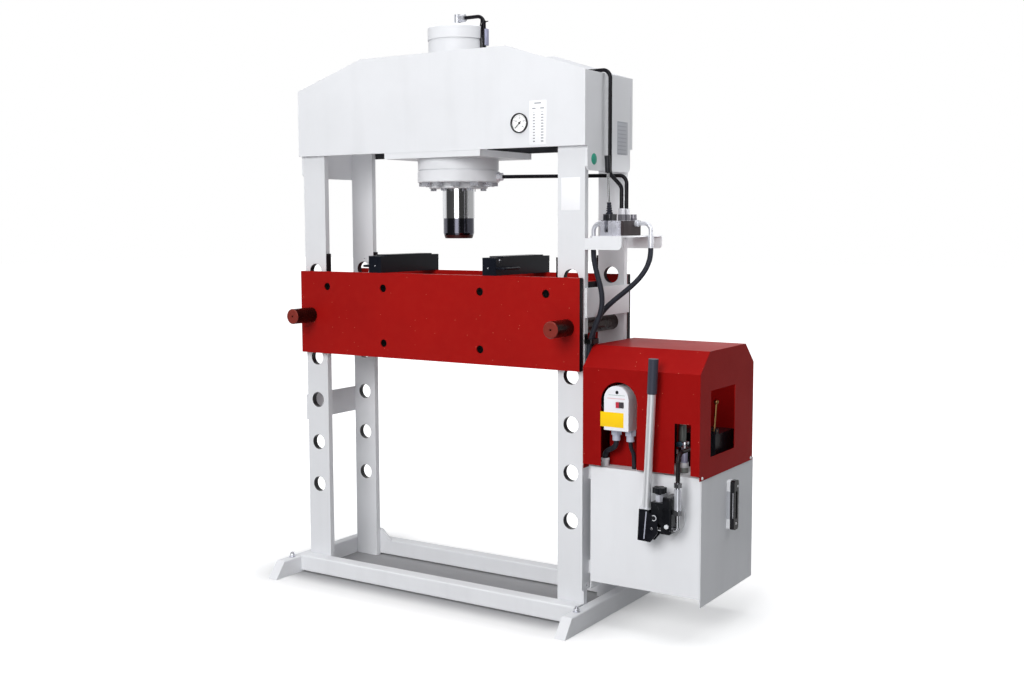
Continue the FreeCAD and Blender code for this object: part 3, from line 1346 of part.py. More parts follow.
# ---------------------------------------------------------------- power unit
def tank_bracket():
    """Plate on the outer faces of the right uprights, with rails to the tank."""
    plate = box("upright_outer", "-bracket_front", "bracket_low", "bracket_plate",
                "bracket_front + upright_front", "bracket_high - bracket_low")
    parts = [plate]
    for low in ("tank_floor + 10", "tank_top - rail_height - 10"):
        parts.append(box("plate_outer", "-upright_back", low, "tank_left - plate_outer",
                         "2 * upright_back", "rail_height"))
    finish(fuse(parts), "tank_bracket")


def tank():
    """Folded oil tank with side sheets that reach below it, and its hose stubs."""
    wide = "tank_right - tank_left"
    deep = "tank_back - tank_front"
    outer = box("tank_left", "tank_front", "tank_floor", wide, deep, "tank_top - tank_floor")
    skirts = [box(x, "tank_front", "tank_floor - tank_skirt", "tank_wall", deep,
                  "tank_skirt + tank_wall")
              for x in ("tank_left", "tank_right - tank_wall")]
    inside = box("tank_left + tank_wall", "tank_front + tank_wall", "tank_floor + tank_wall",
                 f"{wide} - 2 * tank_wall", f"{deep} - 2 * tank_wall",
                 "tank_top - tank_floor - 2 * tank_wall")
    flange = round_bar("flange_round", "flange_plate", "flange_x", "tank_front - flange_plate",
                       "flange_height", ALONG_Y)
    stubs = [round_bar("hose_diameter + 6", "hose_end - tank_top", str(x), str(y), "tank_top")
             for x, y in (PRESSURE_STUB, RETURN_STUB)]
    stubs += [round_bar("lead_stub_diameter", "lead_stub_low", "lead_stub_x", "lead_stub_y",
                        "tank_top"),
              hexagon("lead_stub_diameter + 2", "lead_stub_nut", "lead_stub_x",
                      "lead_stub_y", "tank_top + lead_stub_low")]
    finish(fuse([cut(fuse([outer] + skirts), [inside]), flange] + stubs), "tank")


def power_unit_cover():
    """Sheet cover with bevelled top edges and openings for all that is worked by hand."""
    def section(gap, bottom):
        front, back = f"cover_front + {gap}", f"cover_back - {gap}"
        top = f"cover_top - {gap}"
        shift = f"{gap} * 0.414"
        return [(front, bottom), (back, bottom),
                (back, f"cover_top - cover_bevel_drop - {shift}"),
                (f"cover_back - cover_bevel_depth - {shift}", top),
                (f"cover_front + cover_bevel_depth + {shift}", top),
                (front, f"cover_top - cover_bevel_drop - {shift}")]
    body = new_body()
    pad(body, outline(sketch(body, "YZ_Plane", "cover_left"), section("0", "cover_low")),
        "cover_right - cover_left")
    hollow = outline(sketch(body, "YZ_Plane", "cover_left + cover_sheet"),
                     section("cover_sheet", "cover_low - 1"))
    pocket(body, hollow, "cover_right - cover_left - 2 * cover_sheet", reverse=True)

    rear = rectangle(sketch(body, "XZ_Plane", "-cover_back - 1"), "cover_left - 1",
                     "cover_right - cover_sheet", "cover_low - 1", "tank_top + seat_gap")
    pocket(body, rear, "cover_sheet + 2", reverse=True)
    front = sketch(body, "XZ_Plane", "-cover_front + 1")
    rectangle(front, "cover_left - 1", "cover_right + 1", "cover_low - 1",
              "cover_front_low")
    rectangle(front, "slit_left", "slit_right", "cover_front_low + 0.5", "slit_top")
    pocket(body, front, "cover_sheet + 2")
    slit_root = rectangle(sketch(body, "XZ_Plane", "-cover_front + 1"), "slit_left",
                          "slit_right", "cover_front_low - 1", "cover_front_low + 1")
    pocket(body, slit_root, "cover_sheet + 2")
    arch = rectangle(sketch(body, "XZ_Plane", "-cover_front + 1"),
                     "arch_x - arch_width / 2", "arch_x + arch_width / 2",
                     "cover_front_low - 1", "arch_spring")
    pocket(body, arch, "cover_sheet + 2")
    crown = circle(sketch(body, "XZ_Plane", "-cover_front + 1"), "arch_x", "arch_spring",
                   "arch_width")
    pocket(body, crown, "cover_sheet + 2")
    window = rectangle(sketch(body, "YZ_Plane", "cover_right + 1"), "window_front",
                       "window_back", "window_low", "window_high")
    pocket(body, window, "cover_sheet + 2")
    slot = rectangle(sketch(body, "YZ_Plane", "cover_left + cover_sheet + 1"),
                     "hose_slot_front", "hose_slot_back", "cover_low - 1", "hose_slot_top")
    pocket(body, slot, "cover_sheet + 2")
    panel = box("panel_left", "panel_front", "tank_top + 1", "panel_right - panel_left",
                "cover_sheet", "panel_high - tank_top - 1")
    flange = box("panel_right", "cover_front + cover_sheet / 2", "cover_front_low",
                 "cover_sheet", "panel_front + cover_sheet / 2 - cover_front",
                 "panel_high - cover_front_low")
    finish(fuse([body, panel, flange]), "power_unit_cover")


def motor():
    """Upright motor on its foot flange, with cooling fins and a fan cowl."""
    core = round_bar("motor_diameter", "motor_top - tank_top", "motor_x", "motor_y",
                     "tank_top")
    cowl = round_bar("motor_diameter + 2 * motor_fin_height", "fan_cowl", "motor_x",
                     "motor_y", "motor_top - fan_cowl")
    foot = round_bar("motor_diameter + 30", "motor_flange", "motor_x", "motor_y", "tank_top")
    ribs = []
    count = int(number("motor_fins"))
    for k in range(count):
        angle = f"({k} * 360 deg / motor_fins)"
        if 130 < k * 360 / count < 230:
            continue
        rib = box("0", "0", "0", "motor_fin_width", "motor_fin_height + 2",
                  "motor_top - fan_cowl - tank_top - motor_flange")
        rib.Placement.Rotation = Rotation(Z_AXIS, 360 * k / count)
        reach = "(motor_diameter / 2 - 2)"
        ribs.append(bind(
            rib,
            Placement__Base__x=f"motor_x - {reach} * sin{angle} - motor_fin_width / 2 * cos{angle}",
            Placement__Base__y=f"motor_y + {reach} * cos{angle} - motor_fin_width / 2 * sin{angle}",
            Placement__Base__z="tank_top + motor_flange"))
    finish(fuse([core, cowl, foot] + ribs), "motor")


def manifold():
    """Block on the tank that joins pump, hand pump and hoses, with a small clevis."""
    block = box("manifold_left", "manifold_front", "tank_top",
                "manifold_right - manifold_left", "manifold_back - manifold_front",
                "manifold_top - tank_top")
    lugs = box("selector_x - selector_shaft", "selector_y - selector_shaft", "manifold_top",
               "2 * selector_shaft", "2 * selector_shaft", "1.6 * selector_shaft")
    slot = box("selector_x - selector_shaft / 2", "selector_y - 2 * selector_shaft",
               "manifold_top", "selector_shaft", "4 * selector_shaft", "2 * selector_shaft")
    pivot = round_bar("selector_shaft / 2 + 2 * running_gap", "3 * selector_shaft",
                      "selector_x - 1.5 * selector_shaft", "selector_y",
                      "manifold_top + selector_shaft", ALONG_X)
    finish(fuse([block, cut(lugs, [slot, pivot])]), "manifold")

    length = "selector_length"
    lever = fuse([
        round_bar("selector_shaft / 2", "2 * selector_shaft", "-selector_shaft", "0", "0",
                  ALONG_X),
        ball("selector_shaft - 1", "0", "0", "0"),
        round_bar("selector_rod", length), ball("selector_ball", "0", "0", length)])
    lever.Placement.Rotation = Rotation(X_AXIS, -number("selector_lean"))
    bind(lever, Placement__Base__x="selector_x", Placement__Base__y="selector_y",
         Placement__Base__z="manifold_top + selector_shaft")
    finish(lever, "selector_lever")


def switch_box():
    """Round-topped box on the motor, with the rocker's recess and two cable glands."""
    body = new_body()
    width = "(box_right - box_left)"
    low = rectangle(sketch(body, "XZ_Plane", "-box_front"), "box_left", "box_right",
                    "box_low", f"box_high - {width} / 2")
    depth = "panel_front - box_front"
    pad(body, low, depth, reverse=True)
    crown = circle(sketch(body, "XZ_Plane", "-box_front"), "(box_left + box_right) / 2",
                   f"box_high - {width} / 2", width)
    pad(body, crown, depth, reverse=True)
    recess = rectangle(sketch(body, "XZ_Plane", "-box_front"),
                       "rocker_x - rocker_wide / 2 - 1.5", "rocker_x + rocker_wide / 2 + 1.5",
                       "rocker_height - rocker_tall / 2 - 0.5",
                       "rocker_height + rocker_tall / 2 + 0.5")
    pocket(body, recess, "rocker_deep")
    seat = "rocker_pivot + 2 * running_gap"
    pivot = round_bar(seat, "rocker_tall + 6", "rocker_x", "box_front + rocker_pivot",
                      "rocker_height - rocker_tall / 2 - 3")
    glands = []
    for x in CABLE_X:
        glands += [hexagon("gland_nut", "gland_length / 2", x, CABLE_Y,
                           "box_low - gland_length / 2"),
                   round_bar("gland_nut - 6", "gland_length", x, CABLE_Y,
                             "box_low - gland_length")]
    finish(fuse([cut(body, [pivot])] + glands), "switch_box")

    rocker = new_body()
    dip = "rocker_wide / 2 * tan(rocker_tilt * 1 deg)"
    plan = outline(sketch(rocker, "XY_Plane", "-rocker_tall / 2"), [
        ("-rocker_wide / 2", f"-rocker_pivot - 1 - {dip}"), ("0", "-rocker_pivot - 1"),
        ("rocker_wide / 2", f"-rocker_pivot - 1 - {dip}"),
        ("rocker_wide / 2 - 3", "rocker_pivot + 1"),
        ("-rocker_wide / 2 + 3", "rocker_pivot + 1")])
    pad(rocker, plan, "rocker_tall")
    pin = round_bar("rocker_pivot", "rocker_tall + 5", z="-rocker_tall / 2 - 2.5")
    switch = fuse([rocker, pin])
    switch.Placement.Rotation = Rotation(Z_AXIS, number("rocker_tilt"))
    bind(switch, Placement__Base__x="rocker_x", Placement__Base__z="rocker_height",
         Placement__Base__y="box_front + rocker_pivot")
    finish(switch, "rocker_switch")


CABLE_X = ("box_left + gland_inset_left", "box_right - gland_inset_right")
CABLE_Y = "box_front + gland_depth"


def cables():
    """Two short cables, one to the tank's top and a thicker one to its own stub."""
    top = number("box_low") - number("gland_length")
    y, end = number("box_front") + number("gland_depth"), number("tank_top")
    left = number("box_left") + number("gland_inset_left")
    right = number("box_right") - number("gland_inset_right")
    bow, start = number("cable_bow"), number("lead_start")
    plain = free_hose("cable", [
        Vector(right, y, top), Vector(right, y, top - 18),
        Vector(right + bow, y + 10, (top + end) / 2 + bow),
        Vector(right + bow, y + 12, end + 18), Vector(right + bow, y + 12, end + 0.3)],
        number("cable_diameter"))
    stub_x, stub_y = number("lead_stub_x"), number("lead_stub_y")
    stub_top = end + number("lead_stub_low") + number("lead_stub_nut")
    lead, radii, length = tube_shape([
        Vector(left, y, top), Vector(left, y, top - start),
        Vector(stub_x, stub_y, stub_top + start), Vector(stub_x, stub_y, stub_top)],
        number("lead_diameter"), lambda a, b, half: 0.98 * start / math.tan(half))
    print("left cable length", round(length), "radii", [round(r) for r in radii])
    finish(several([plain, made(lead)]), "cables")


def hand_pump_body():
    """Cast pump: open below and in front for the lever's fork, with a middle lug."""
    body = new_body()
    rear = rectangle(sketch(body, "XZ_Plane", "pump_back"), "pump_left", "pump_right",
                     "pump_low", "pump_step")
    pad(body, rear, "-pump_front - pump_back - socket_depth - fork_play")
    front = outline(sketch(body, "XZ_Plane", "pump_back"), [
        ("pump_left", "fork_roof"), ("fork_wall", "fork_roof"), ("fork_wall", "pump_low"),
        ("pump_right", "pump_low"), ("pump_right", "pump_high"),
        ("pump_shoulder", "pump_high"), ("pump_shoulder", "pump_step"),
        ("pump_left", "pump_step")])
    pad(body, front, "-pump_front - pump_back")
    lug = outline(sketch(body, "XZ_Plane", "-lever_plane - lug_width / 2"), [
        ("pivot_x - lug_round", "pivot_height - lug_round / 2"),
        ("pivot_x - lug_round / 2", "pivot_height - lug_round"),
        ("pivot_x + lug_round / 2", "pivot_height - lug_round"),
        ("barrel_left", "plunger_height + plunger_diameter / 2 + 3"),
        ("barrel_left", "pump_low"), ("fork_wall + 1", "pump_low"),
        ("fork_wall + 1", "fork_roof + 1"), ("pivot_x - lug_round", "fork_roof + 1")])
    pad(body, lug, "lug_width")
    right, high, back = number("pump_right"), number("pump_high"), -number("pump_back")
    ease(body, "pump_round", Y_AXIS, lambda c: abs(c.x - right) < 1)
    ease(body, "pump_round / 2", Z_AXIS, lambda c: c.x > right - 1 and c.y < back - 5)
    bore = circle(sketch(body, "YZ_Plane", "barrel_left - 1"), "lever_plane",
                  "plunger_height", "plunger_diameter + 2 * running_gap")
    pocket(body, bore, "plunger_bore", reverse=True)
    pivot = round_bar("pivot_pin", "socket_depth + fork_play + 4", "pivot_x",
                      "pump_front - 2", "pivot_height", ALONG_Y)
    ring = round_bar("pivot_pin + 4", "1", "pivot_x", "pump_front - 1.6", "pivot_height",
                     ALONG_Y)
    plug = hexagon("plunger_diameter - 3", "4", "fork_wall + 9", "pump_front - 4",
                   "plunger_height", ALONG_Y)
    bush = hexagon("knob_nut", "knob_nut_height", "knob_x", "knob_y", "pump_step")
    stem_hole = round_bar("knob_stem + 2 * running_gap", "knob_nut_height + 12", "knob_x",
                          "knob_y", "pump_step - 8")
    finish(cut(fuse([body, pivot, ring, plug, bush]), [stem_hole]), "hand_pump_body")


def hand_pump_lever():
    """Socket with two fork plates, the tube that stands in it, and the grip."""
    body = new_body()
    left, inside = "-tube_offset - socket_width / 2", "-tube_offset + socket_width / 2"
    low, high = "socket_low - pivot_height", "socket_high - pivot_height"
    block = rectangle(sketch(body, "XZ_Plane", "-socket_depth / 2"), left, inside, low, high)
    pad(body, block, "socket_depth")
    ease(body, "socket_round", Z_AXIS)
    seat = circle(sketch(body, "XY_Plane", high), "-tube_offset", "0", "handle_tube")
    pocket(body, seat, "socket_high - socket_low - 12")
    plates = []
    for side in ("-socket_depth / 2", "socket_depth / 2 - fork_plate"):
        plate = new_body()
        shape = outline(sketch(plate, "XZ_Plane", side), [
            (f"{inside} - socket_round", low), (f"{inside} + 8", low),
            ("lug_round", f"{low} + 28"), ("lug_round", "lug_round / 2"),
            ("lug_round / 2", "lug_round"), (f"{inside} - socket_round", "lug_round")])
        pad(plate, shape, "fork_plate")
        hole = circle(sketch(plate, "XZ_Plane"), "0", "0", "pivot_pin + 2 * running_gap")
        pocket(plate, hole)
        tilt = "(handle_tilt * 1 deg)"
        x = f"(plunger_drop * sin{tilt} - wrist_in * cos{tilt})"
        z = f"(-wrist_in * sin{tilt} - plunger_drop * cos{tilt})"
        slot = rectangle(sketch(plate, "XZ_Plane"), f"{x} - wrist_pin / 2 - wrist_play",
                         f"{x} + wrist_pin / 2 + wrist_play",
                         f"{z} - wrist_pin / 2 - 3 * wrist_play",
                         f"{z} + wrist_pin / 2 + 2 * wrist_play")
        pocket(plate, slot)
        plates.append(plate)
    top = "handle_top - pivot_height"
    tube = round_bar("handle_tube", "handle_top - socket_high + 60", "-tube_offset", "0",
                     f"{high} - 60")
    bore = round_bar("handle_tube - 5", "handle_top - socket_high", "-tube_offset", "0",
                     f"{high} - 70")
    grip = round_bar("handle_grip", "handle_grip_length", "-tube_offset", "0",
                     f"{top} - handle_grip_length + 1")
    lever = fuse([body] + plates + [cut(tube, [bore]), grip])
    lever.Placement.Rotation = Rotation(Y_AXIS, number("handle_tilt"))
    bind(lever, Placement__Base__x="pivot_x", Placement__Base__y="lever_plane",
         Placement__Base__z="pivot_height")
    finish(lever, "hand_pump_lever")


def hand_pump_plunger():
    """Round plunger with the cross pin that the lever's fork pushes."""
    start = "pivot_x - wrist_in - wrist_pin"
    rod = round_bar("plunger_diameter", "plunger_length", start, "lever_plane",
                    "plunger_height", ALONG_X)
    pin = round_bar("wrist_pin", "socket_depth + 2", "pivot_x - wrist_in",
                    "lever_plane - socket_depth / 2 - 1", "plunger_height", ALONG_Y)
    finish(fuse([rod, pin]), "hand_pump_plunger")


def release_knob():
    """Star knob on its stem; the hollows between its lobes are cut round it."""
    body = new_body()
    low = "pump_step + knob_nut_height + knob_lift"
    disc = circle(sketch(body, "XY_Plane", low), "0", "0", "knob_diameter")
    pad(body, disc, "knob_height")
    hollow = circle(sketch(body, "XY_Plane"), "knob_diameter * 0.62", "0",
                    "knob_diameter * 0.42")
    ring_of(body, pocket(body, hollow), hollow, "knob_lobes")
    stem = circle(sketch(body, "XY_Plane", "pump_step - 6"), "0", "0", "knob_stem")
    pad(body, stem, f"{low} - pump_step + 7")
    finish(move(body, "knob_x", "knob_y", "0"), "release_knob")


def check_valve():
    """Elbow at the pump, check valve with its nuts, and the pipe to the manifold."""
    x, y = number("column_x"), number("column_y")
    level, top = number("plunger_height") + 4, number("column_top")
    size, turn_z = number("feed_pipe"), number("feed_turn")
    elbow = tube_shape([Vector(number("pump_right"), y, level), Vector(x, y, level),
                        Vector(x, y, number("column_body_low"))], size,
                       lambda a, b, half: size * 0.6)[0]
    pipe = bent_pipe([Vector(x, y, top), Vector(x, y, turn_z),
                      Vector(x, number("manifold_front"), turn_z)], size)
    where = {"x": "column_x", "y": "column_y"}
    pieces = [
        made(elbow), made(pipe),
        hexagon("column_nut", "column_nut * 0.6", z="column_body_low - column_nut * 0.6",
                **where),
        round_bar("column_body", "column_body_high - column_body_low", z="column_body_low",
                  **where),
        round_bar("column_body - 6", "column_top - column_body_high", z="column_body_high",
                  **where),
        hexagon("column_nut", "column_top - column_body_high - 4", z="column_body_high + 4",
                **where)]
    finish(fuse(pieces), "check_valve")


def level_gauge():
    """Oil level gauge, bolted to the tank's right side."""
    body = new_body()
    face = rectangle(sketch(body, "YZ_Plane", "tank_right"), "sight_front",
                     "sight_front + sight_width", "sight_low", "sight_high")
    pad(body, face, "sight_depth")
    ease(body, "sight_round", X_AXIS)
    middle = "(sight_front + sight_width / 2)"
    window = rectangle(sketch(body, "YZ_Plane", "tank_right + sight_depth"),
                       f"{middle} - sight_slot_width / 2", f"{middle} + sight_slot_width / 2",
                       "(sight_low + sight_high - sight_slot_height) / 2",
                       "(sight_low + sight_high + sight_slot_height) / 2")
    pocket(body, window, "sight_slot_depth")
    finish(body, "level_gauge")


for build in (head_plates, head_end_plates, ram_seat_plate, uprights, tie_plates, feet,
              base_beams, cylinder, cylinder_bolts, ram, port_fittings, pressure_pipes,
              pressure_gauge, valve_bracket, valve_body, valve_lever_housing, valve_lever,
              valve_spool, valve_fittings, hoses, hose_clamp, table_plates, table_spacers,
              table_screws, table_pins, support_blocks, tank_bracket, tank,
              power_unit_cover, motor, manifold, switch_box, cables, hand_pump_body,
              hand_pump_lever, hand_pump_plunger, release_knob, check_valve, level_gauge):
    build()

doc.recompute()
for thing in doc.Objects:
    if "Invalid" in thing.State or "Error" in thing.State:
        raise RuntimeError(f"{thing.Label} ({thing.Name}) failed: {thing.State}")
for cutting in doc.findObjects("PartDesign::Pocket"):
    if cutting.Shape.Volume > cutting.BaseFeature.Shape.Volume - 1:
        body = cutting.getParentGeoFeatureGroup()
        raise RuntimeError(f"{cutting.Name} of {body.Label} cuts nothing")
for node in NODES:
    if node.Shape.isNull() or not node.Shape.isValid():
        raise RuntimeError(f"{node.Label} has no valid shape")
    node.Shape.exportStep(f"parts/{node.Label}.step")
print(len(NODES), "sub-parts")
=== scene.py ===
# %% [markdown]
# # A hydraulic workshop press, dressed for its portrait
# The press is a tall frame of painted plates with a ram in its head, a red table
# that hangs on two pins, and a power unit on its right side. Its measured solids
# come from the CAD frame. This notebook gives them their finishes and adds what a
# maker adds last: hoses, the gauge's face, labels, nuts and small fittings.
# X runs to the right, Y to the back, Z up. Finishes, lamps and the camera are given
# in metres, the pieces made on the bench in millimetres.

import math

import bmesh
import bpy
from mathutils import Matrix, Vector


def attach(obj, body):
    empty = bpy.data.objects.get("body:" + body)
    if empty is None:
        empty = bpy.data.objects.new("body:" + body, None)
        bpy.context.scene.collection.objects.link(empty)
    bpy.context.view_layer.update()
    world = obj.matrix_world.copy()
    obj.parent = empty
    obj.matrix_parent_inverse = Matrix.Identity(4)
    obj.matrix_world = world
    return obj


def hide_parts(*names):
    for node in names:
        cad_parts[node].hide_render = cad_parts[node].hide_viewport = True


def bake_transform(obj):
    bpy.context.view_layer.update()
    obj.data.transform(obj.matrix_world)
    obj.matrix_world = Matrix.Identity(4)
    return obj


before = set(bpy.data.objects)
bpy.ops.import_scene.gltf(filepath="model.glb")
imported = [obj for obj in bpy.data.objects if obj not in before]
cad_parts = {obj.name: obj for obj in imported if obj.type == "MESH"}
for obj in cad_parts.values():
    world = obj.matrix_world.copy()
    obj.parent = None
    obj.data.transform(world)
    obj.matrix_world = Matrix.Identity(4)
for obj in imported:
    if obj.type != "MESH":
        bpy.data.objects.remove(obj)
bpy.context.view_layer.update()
bpy.ops.object.select_all(action="DESELECT")
print("CAD nodes:", len(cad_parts))

# %% [markdown]
# ## Wiring a finish
# A finish is a small network of shader nodes. Drawing each one by hand is slow to
# read, so one class stands for an output socket and takes ordinary arithmetic:
# `0.4 + grain * 0.1` adds the Math nodes it needs. A second class holds a node
# tree and has one method that makes any other node from its type, its settings
# and what goes into its sockets.

# %% Sockets that can be added and multiplied
class Wire:
    """An output socket; arithmetic on it adds Math nodes to its tree."""

    def __init__(self, wiring, socket):
        self.wiring, self.socket = wiring, socket

    def maths(self, operation, first, second):
        return self.wiring.node("Math", {"operation": operation}, {0: first, 1: second})

    def __add__(self, other):
        return self.maths("ADD", self, other)

    def __sub__(self, other):
        return self.maths("SUBTRACT", self, other)

    def __rsub__(self, other):
        return self.maths("SUBTRACT", other, self)

    def __mul__(self, other):
        return self.maths("MULTIPLY", self, other)

    def __gt__(self, other):
        return self.maths("GREATER_THAN", self, other)

    def __lt__(self, other):
        return self.maths("LESS_THAN", self, other)

    def __mod__(self, other):
        return self.maths("MODULO", self, other)

    def __pow__(self, other):
        return self.maths("POWER", self, other)

    def __abs__(self):
        return self.maths("ABSOLUTE", self, 0.0)

    __radd__, __rmul__ = __add__, __mul__


class Wiring:
    """A node tree, with one method for every kind of node."""

    def __init__(self, tree):
        self.tree = tree

    def node(self, kind, settings=None, sockets=None, out=0):
        made = self.tree.nodes.new("ShaderNode" + kind)
        for name, value in (settings or {}).items():
            if name == "stops":
                while len(made.color_ramp.elements) < len(value):
                    made.color_ramp.elements.new(1.0)
                for stop, (at, grey) in zip(made.color_ramp.elements, value):
                    stop.position, stop.color = at, (grey, grey, grey, 1)
            else:
                setattr(made, name, value)
        for name, value in (sockets or {}).items():
            self.feed(made.inputs[name], value)
        return Wire(self, made.outputs[out])

    def feed(self, socket, value):
        if isinstance(value, Wire):
            self.tree.links.new(value.socket, socket)
        else:
            socket.default_value = value

    def between(self, mask, first, second):
        """A colour that goes from the first to the second as the mask goes from 0 to 1."""
        return self.node("Mix", {"data_type": "RGBA"}, {0: mask, 6: first, 7: second}, out=2)


# %% [markdown]
# A finish is one shader. What is the same all over stays a number on the shader's
# own socket. What varies is wired in, by place or by noise, in the coordinates of
# the object, so a pattern stays on its piece when the piece moves.

# %% A finish for a piece
OBJECT_PLACE = 3  # the output of the coordinates node that gives the object's own


def shade(red, green, blue):
    """A colour as it shows on a screen, 0 to 255, as the shader wants it."""
    return (*((c / 255 / 12.92) if c < 10.3 else (((c / 255) + 0.055) / 1.055) ** 2.4
              for c in (red, green, blue)), 1)


class Finish(Wiring):
    """A material whose constants sit on its shader and whose patterns are wired in."""

    def __init__(self, name, **constants):
        self.material = bpy.data.materials.new(name)
        self.material.use_nodes = True
        super().__init__(self.material.node_tree)
        self.shader = self.tree.nodes["Principled BSDF"]
        self.here = self.node("TexCoord", out=OBJECT_PLACE)
        for name, value in constants.items():
            self.shader.inputs[name.replace("_", " ").title().replace("Ior", "IOR")
                               ].default_value = value

    def places(self):
        """Three wires with X, Y and Z of the shaded point, in metres."""
        return [self.node("SeparateXYZ", {}, {0: self.here}, out=axis) for axis in range(3)]

    def noise(self, scale, detail=3.0, stretch=None, roughness=0.5):
        place = self.here
        if stretch:
            place = self.node("Mapping", {}, {"Vector": self.here, "Scale": stretch})
        return self.node("TexNoise", {}, {"Vector": place, "Scale": scale,
                                          "Detail": detail, "Roughness": roughness})

    def ramp(self, wire, *stops):
        """Spreads the wire over its stops, each a place and a grey."""
        return self.node("ValToRGB", {"stops": stops}, {0: wire})

    def wear(self, colour=None, rough=None, metal=None, bumps=()):
        """Connects what varies: colour, roughness, metal, and heights in metres."""
        for name, value in (("Base Color", colour), ("Roughness", rough),
                            ("Metallic", metal)):
            if value is not None:
                self.feed(self.shader.inputs[name], value)
        normal = None
        for height, depth in bumps:
            sockets = {"Height": height, "Strength": 1.0, "Distance": depth}
            if normal is not None:
                sockets["Normal"] = normal
            normal = self.node("Bump", {}, sockets)
        if normal is not None:
            self.feed(self.shader.inputs["Normal"], normal)
        return self.material


print("finish maker ready")

# %% [markdown]
# ## Paint
# The frame and the tank wear one light grey powder coat. Such a coat is even, with
# a very fine orange peel, and only slightly glossy. Handling leaves faint grey
# smudges, so a slow noise darkens the colour by a few parts in a hundred and moves
# the gloss with it. Anything stronger would show more wear than this press has.
# Masks paint shade into a coat in single places: a painted shadow on the inner face of the
# head's rear plate, seen as a black band under the head, painted shade inside the pin
# holes, and slightly on the right side of the tank, the side away from the light. The
# uprights wear a slightly darker copy of the coat, which is painted shade too.

# %% Light grey powder coat
PAINTED_SHADE_BLACK = shade(30, 30, 34)
GREY, GREY_SMUDGE = shade(231, 232, 235), shade(208, 209, 211)
PIN_COLUMN, PIN_PITCH, PIN_RADIUS = 0.511, 0.15, 0.0263


def powder_coat(name, colour, smudge, gloss=0.5, dark=None):
    """dark is a test on the place for painted shade: 1 is nearly black, 0 the coat."""
    coat = Finish(name, specular_ior_level=gloss)
    cloud = coat.ramp(coat.noise(2.2, 5.0, roughness=0.6), (0.42, 0.0), (0.75, 1.0))
    streak = coat.ramp(coat.noise(14.0, 4.0, stretch=(1.0, 1.0, 0.12)), (0.5, 0.0), (0.8, 1.0))
    mask = cloud * 0.3 + streak * 0.2
    body = coat.between(mask, colour, smudge)
    if dark:
        body = coat.between(dark(*coat.places()), body, PAINTED_SHADE_BLACK)
    return coat.wear(body, mask * 0.16 + 0.42, bumps=[(coat.noise(420.0, 2.0), 0.00004)])


def pin_holes(x, y, z):
    """1 inside the round holes of the two rows, left and right, where shade is painted."""
    across, up = abs(x) - PIN_COLUMN, (z + 0.663) % PIN_PITCH - PIN_PITCH / 2
    return (across ** 2.0 + up ** 2.0 < PIN_RADIUS ** 2) * (z < 1.1) * (z > 0.28)


grey_paint = powder_coat("light_grey_powder_coat", GREY, GREY_SMUDGE)
# The inner face of the rear plate under the head is a painted shadow, nearly black.
rear_paint = powder_coat("rear_plate_paint", GREY, GREY_SMUDGE,
                         dark=lambda x, y, z: (y < 0.1385) * (z < 1.62))
# The uprights: a slightly darker copy of the grey coat and dark pin holes, both painted shade.
upright_paint = powder_coat("upright_paint", shade(226, 227, 230), shade(206, 207, 209),
                            dark=pin_holes)
# The tank's right side, away from the light, is slightly darker: painted shade.
tank_finish = powder_coat("tank_powder_coat", shade(230, 231, 234), shade(210, 211, 213),
                          gloss=0.1, dark=lambda x, y, z: (x > 0.9495) * 0.12)

# %% [markdown]
# The table and the cover are red, the same coat with small light specks in it, where
# dust has settled in the wet paint, and a softer gloss. The specks are the centres of
# scattered Voronoi cells: one cell in four keeps its dot, chosen by the cell's own
# random colour. A mask makes the right end faces of the table's plates nearly black,
# a painted shade on the side away from the light; on both ends of the spacers the
# same mask gives their guide strips their own black.

# %% Red powder coat with specks
CELLS_A_METRE, SPECK_SHARE, SPECK_SIZE = 62.0, 0.26, 0.08


def red_powder_coat(name, light, deep, hem, ends=None, gloss=0.14):
    """light and deep are the clouds' colours, hem tints the fine grain over them."""
    coat = Finish(name, specular_ior_level=gloss)
    cells, chance = (coat.node("TexVoronoi", {}, {"Vector": coat.here, "Scale": CELLS_A_METRE},
                               out=out) for out in (0, 1))
    chosen = coat.node("SeparateColor", {}, {0: chance}) < SPECK_SHARE
    speck = (cells < SPECK_SIZE) * chosen
    cloud = coat.ramp(coat.noise(3.0, 6.0, roughness=0.62), (0.4, 0.0), (0.75, 1.0))
    fine = coat.ramp(coat.noise(38.0, 4.0), (0.45, 0.0), (0.75, 1.0))
    body = coat.between(cloud * 0.7, light, deep)
    body = coat.between(fine * 0.2, body, hem)
    # Nearly black where ends is 1: painted shade on the plates' end faces, real black on the
    # spacers' strips.
    if ends:
        body = coat.between(ends(*coat.places()), body, shade(26, 20, 24))
    return coat.wear(coat.between(speck * 0.7, body, shade(204, 118, 98)),
                     cloud * 0.1 + 0.36,
                     bumps=[(coat.noise(300.0, 2.0), 0.00007), (cells, 0.00005)])


# The table's plates: the mask on their right end faces is painted shade.
red_paint = red_powder_coat("red_powder_coat", shade(160, 20, 17), shade(146, 16, 14),
                            shade(168, 34, 26), ends=lambda x, y, z: x > 0.5556)
spacer_paint = red_powder_coat("table_spacer_paint", shade(168, 24, 21), shade(152, 19, 17),
                               shade(176, 38, 30), ends=lambda x, y, z: abs(x) > 0.4572)
cover_paint = red_powder_coat("cover_powder_coat", shade(150, 18, 17), shade(130, 13, 13),
                              shade(156, 28, 24), gloss=0.04)

# %% [markdown]
# ## Steel
# The rod is ground and hard chromed: nearly a mirror, with faint hoop lines from
# the grinding. The blackened steel of screws and the iron of the valve reflect
# little but show a sharp highlight. All of them are one recipe, a metal with
# stretched noise for its tool marks, with other numbers.

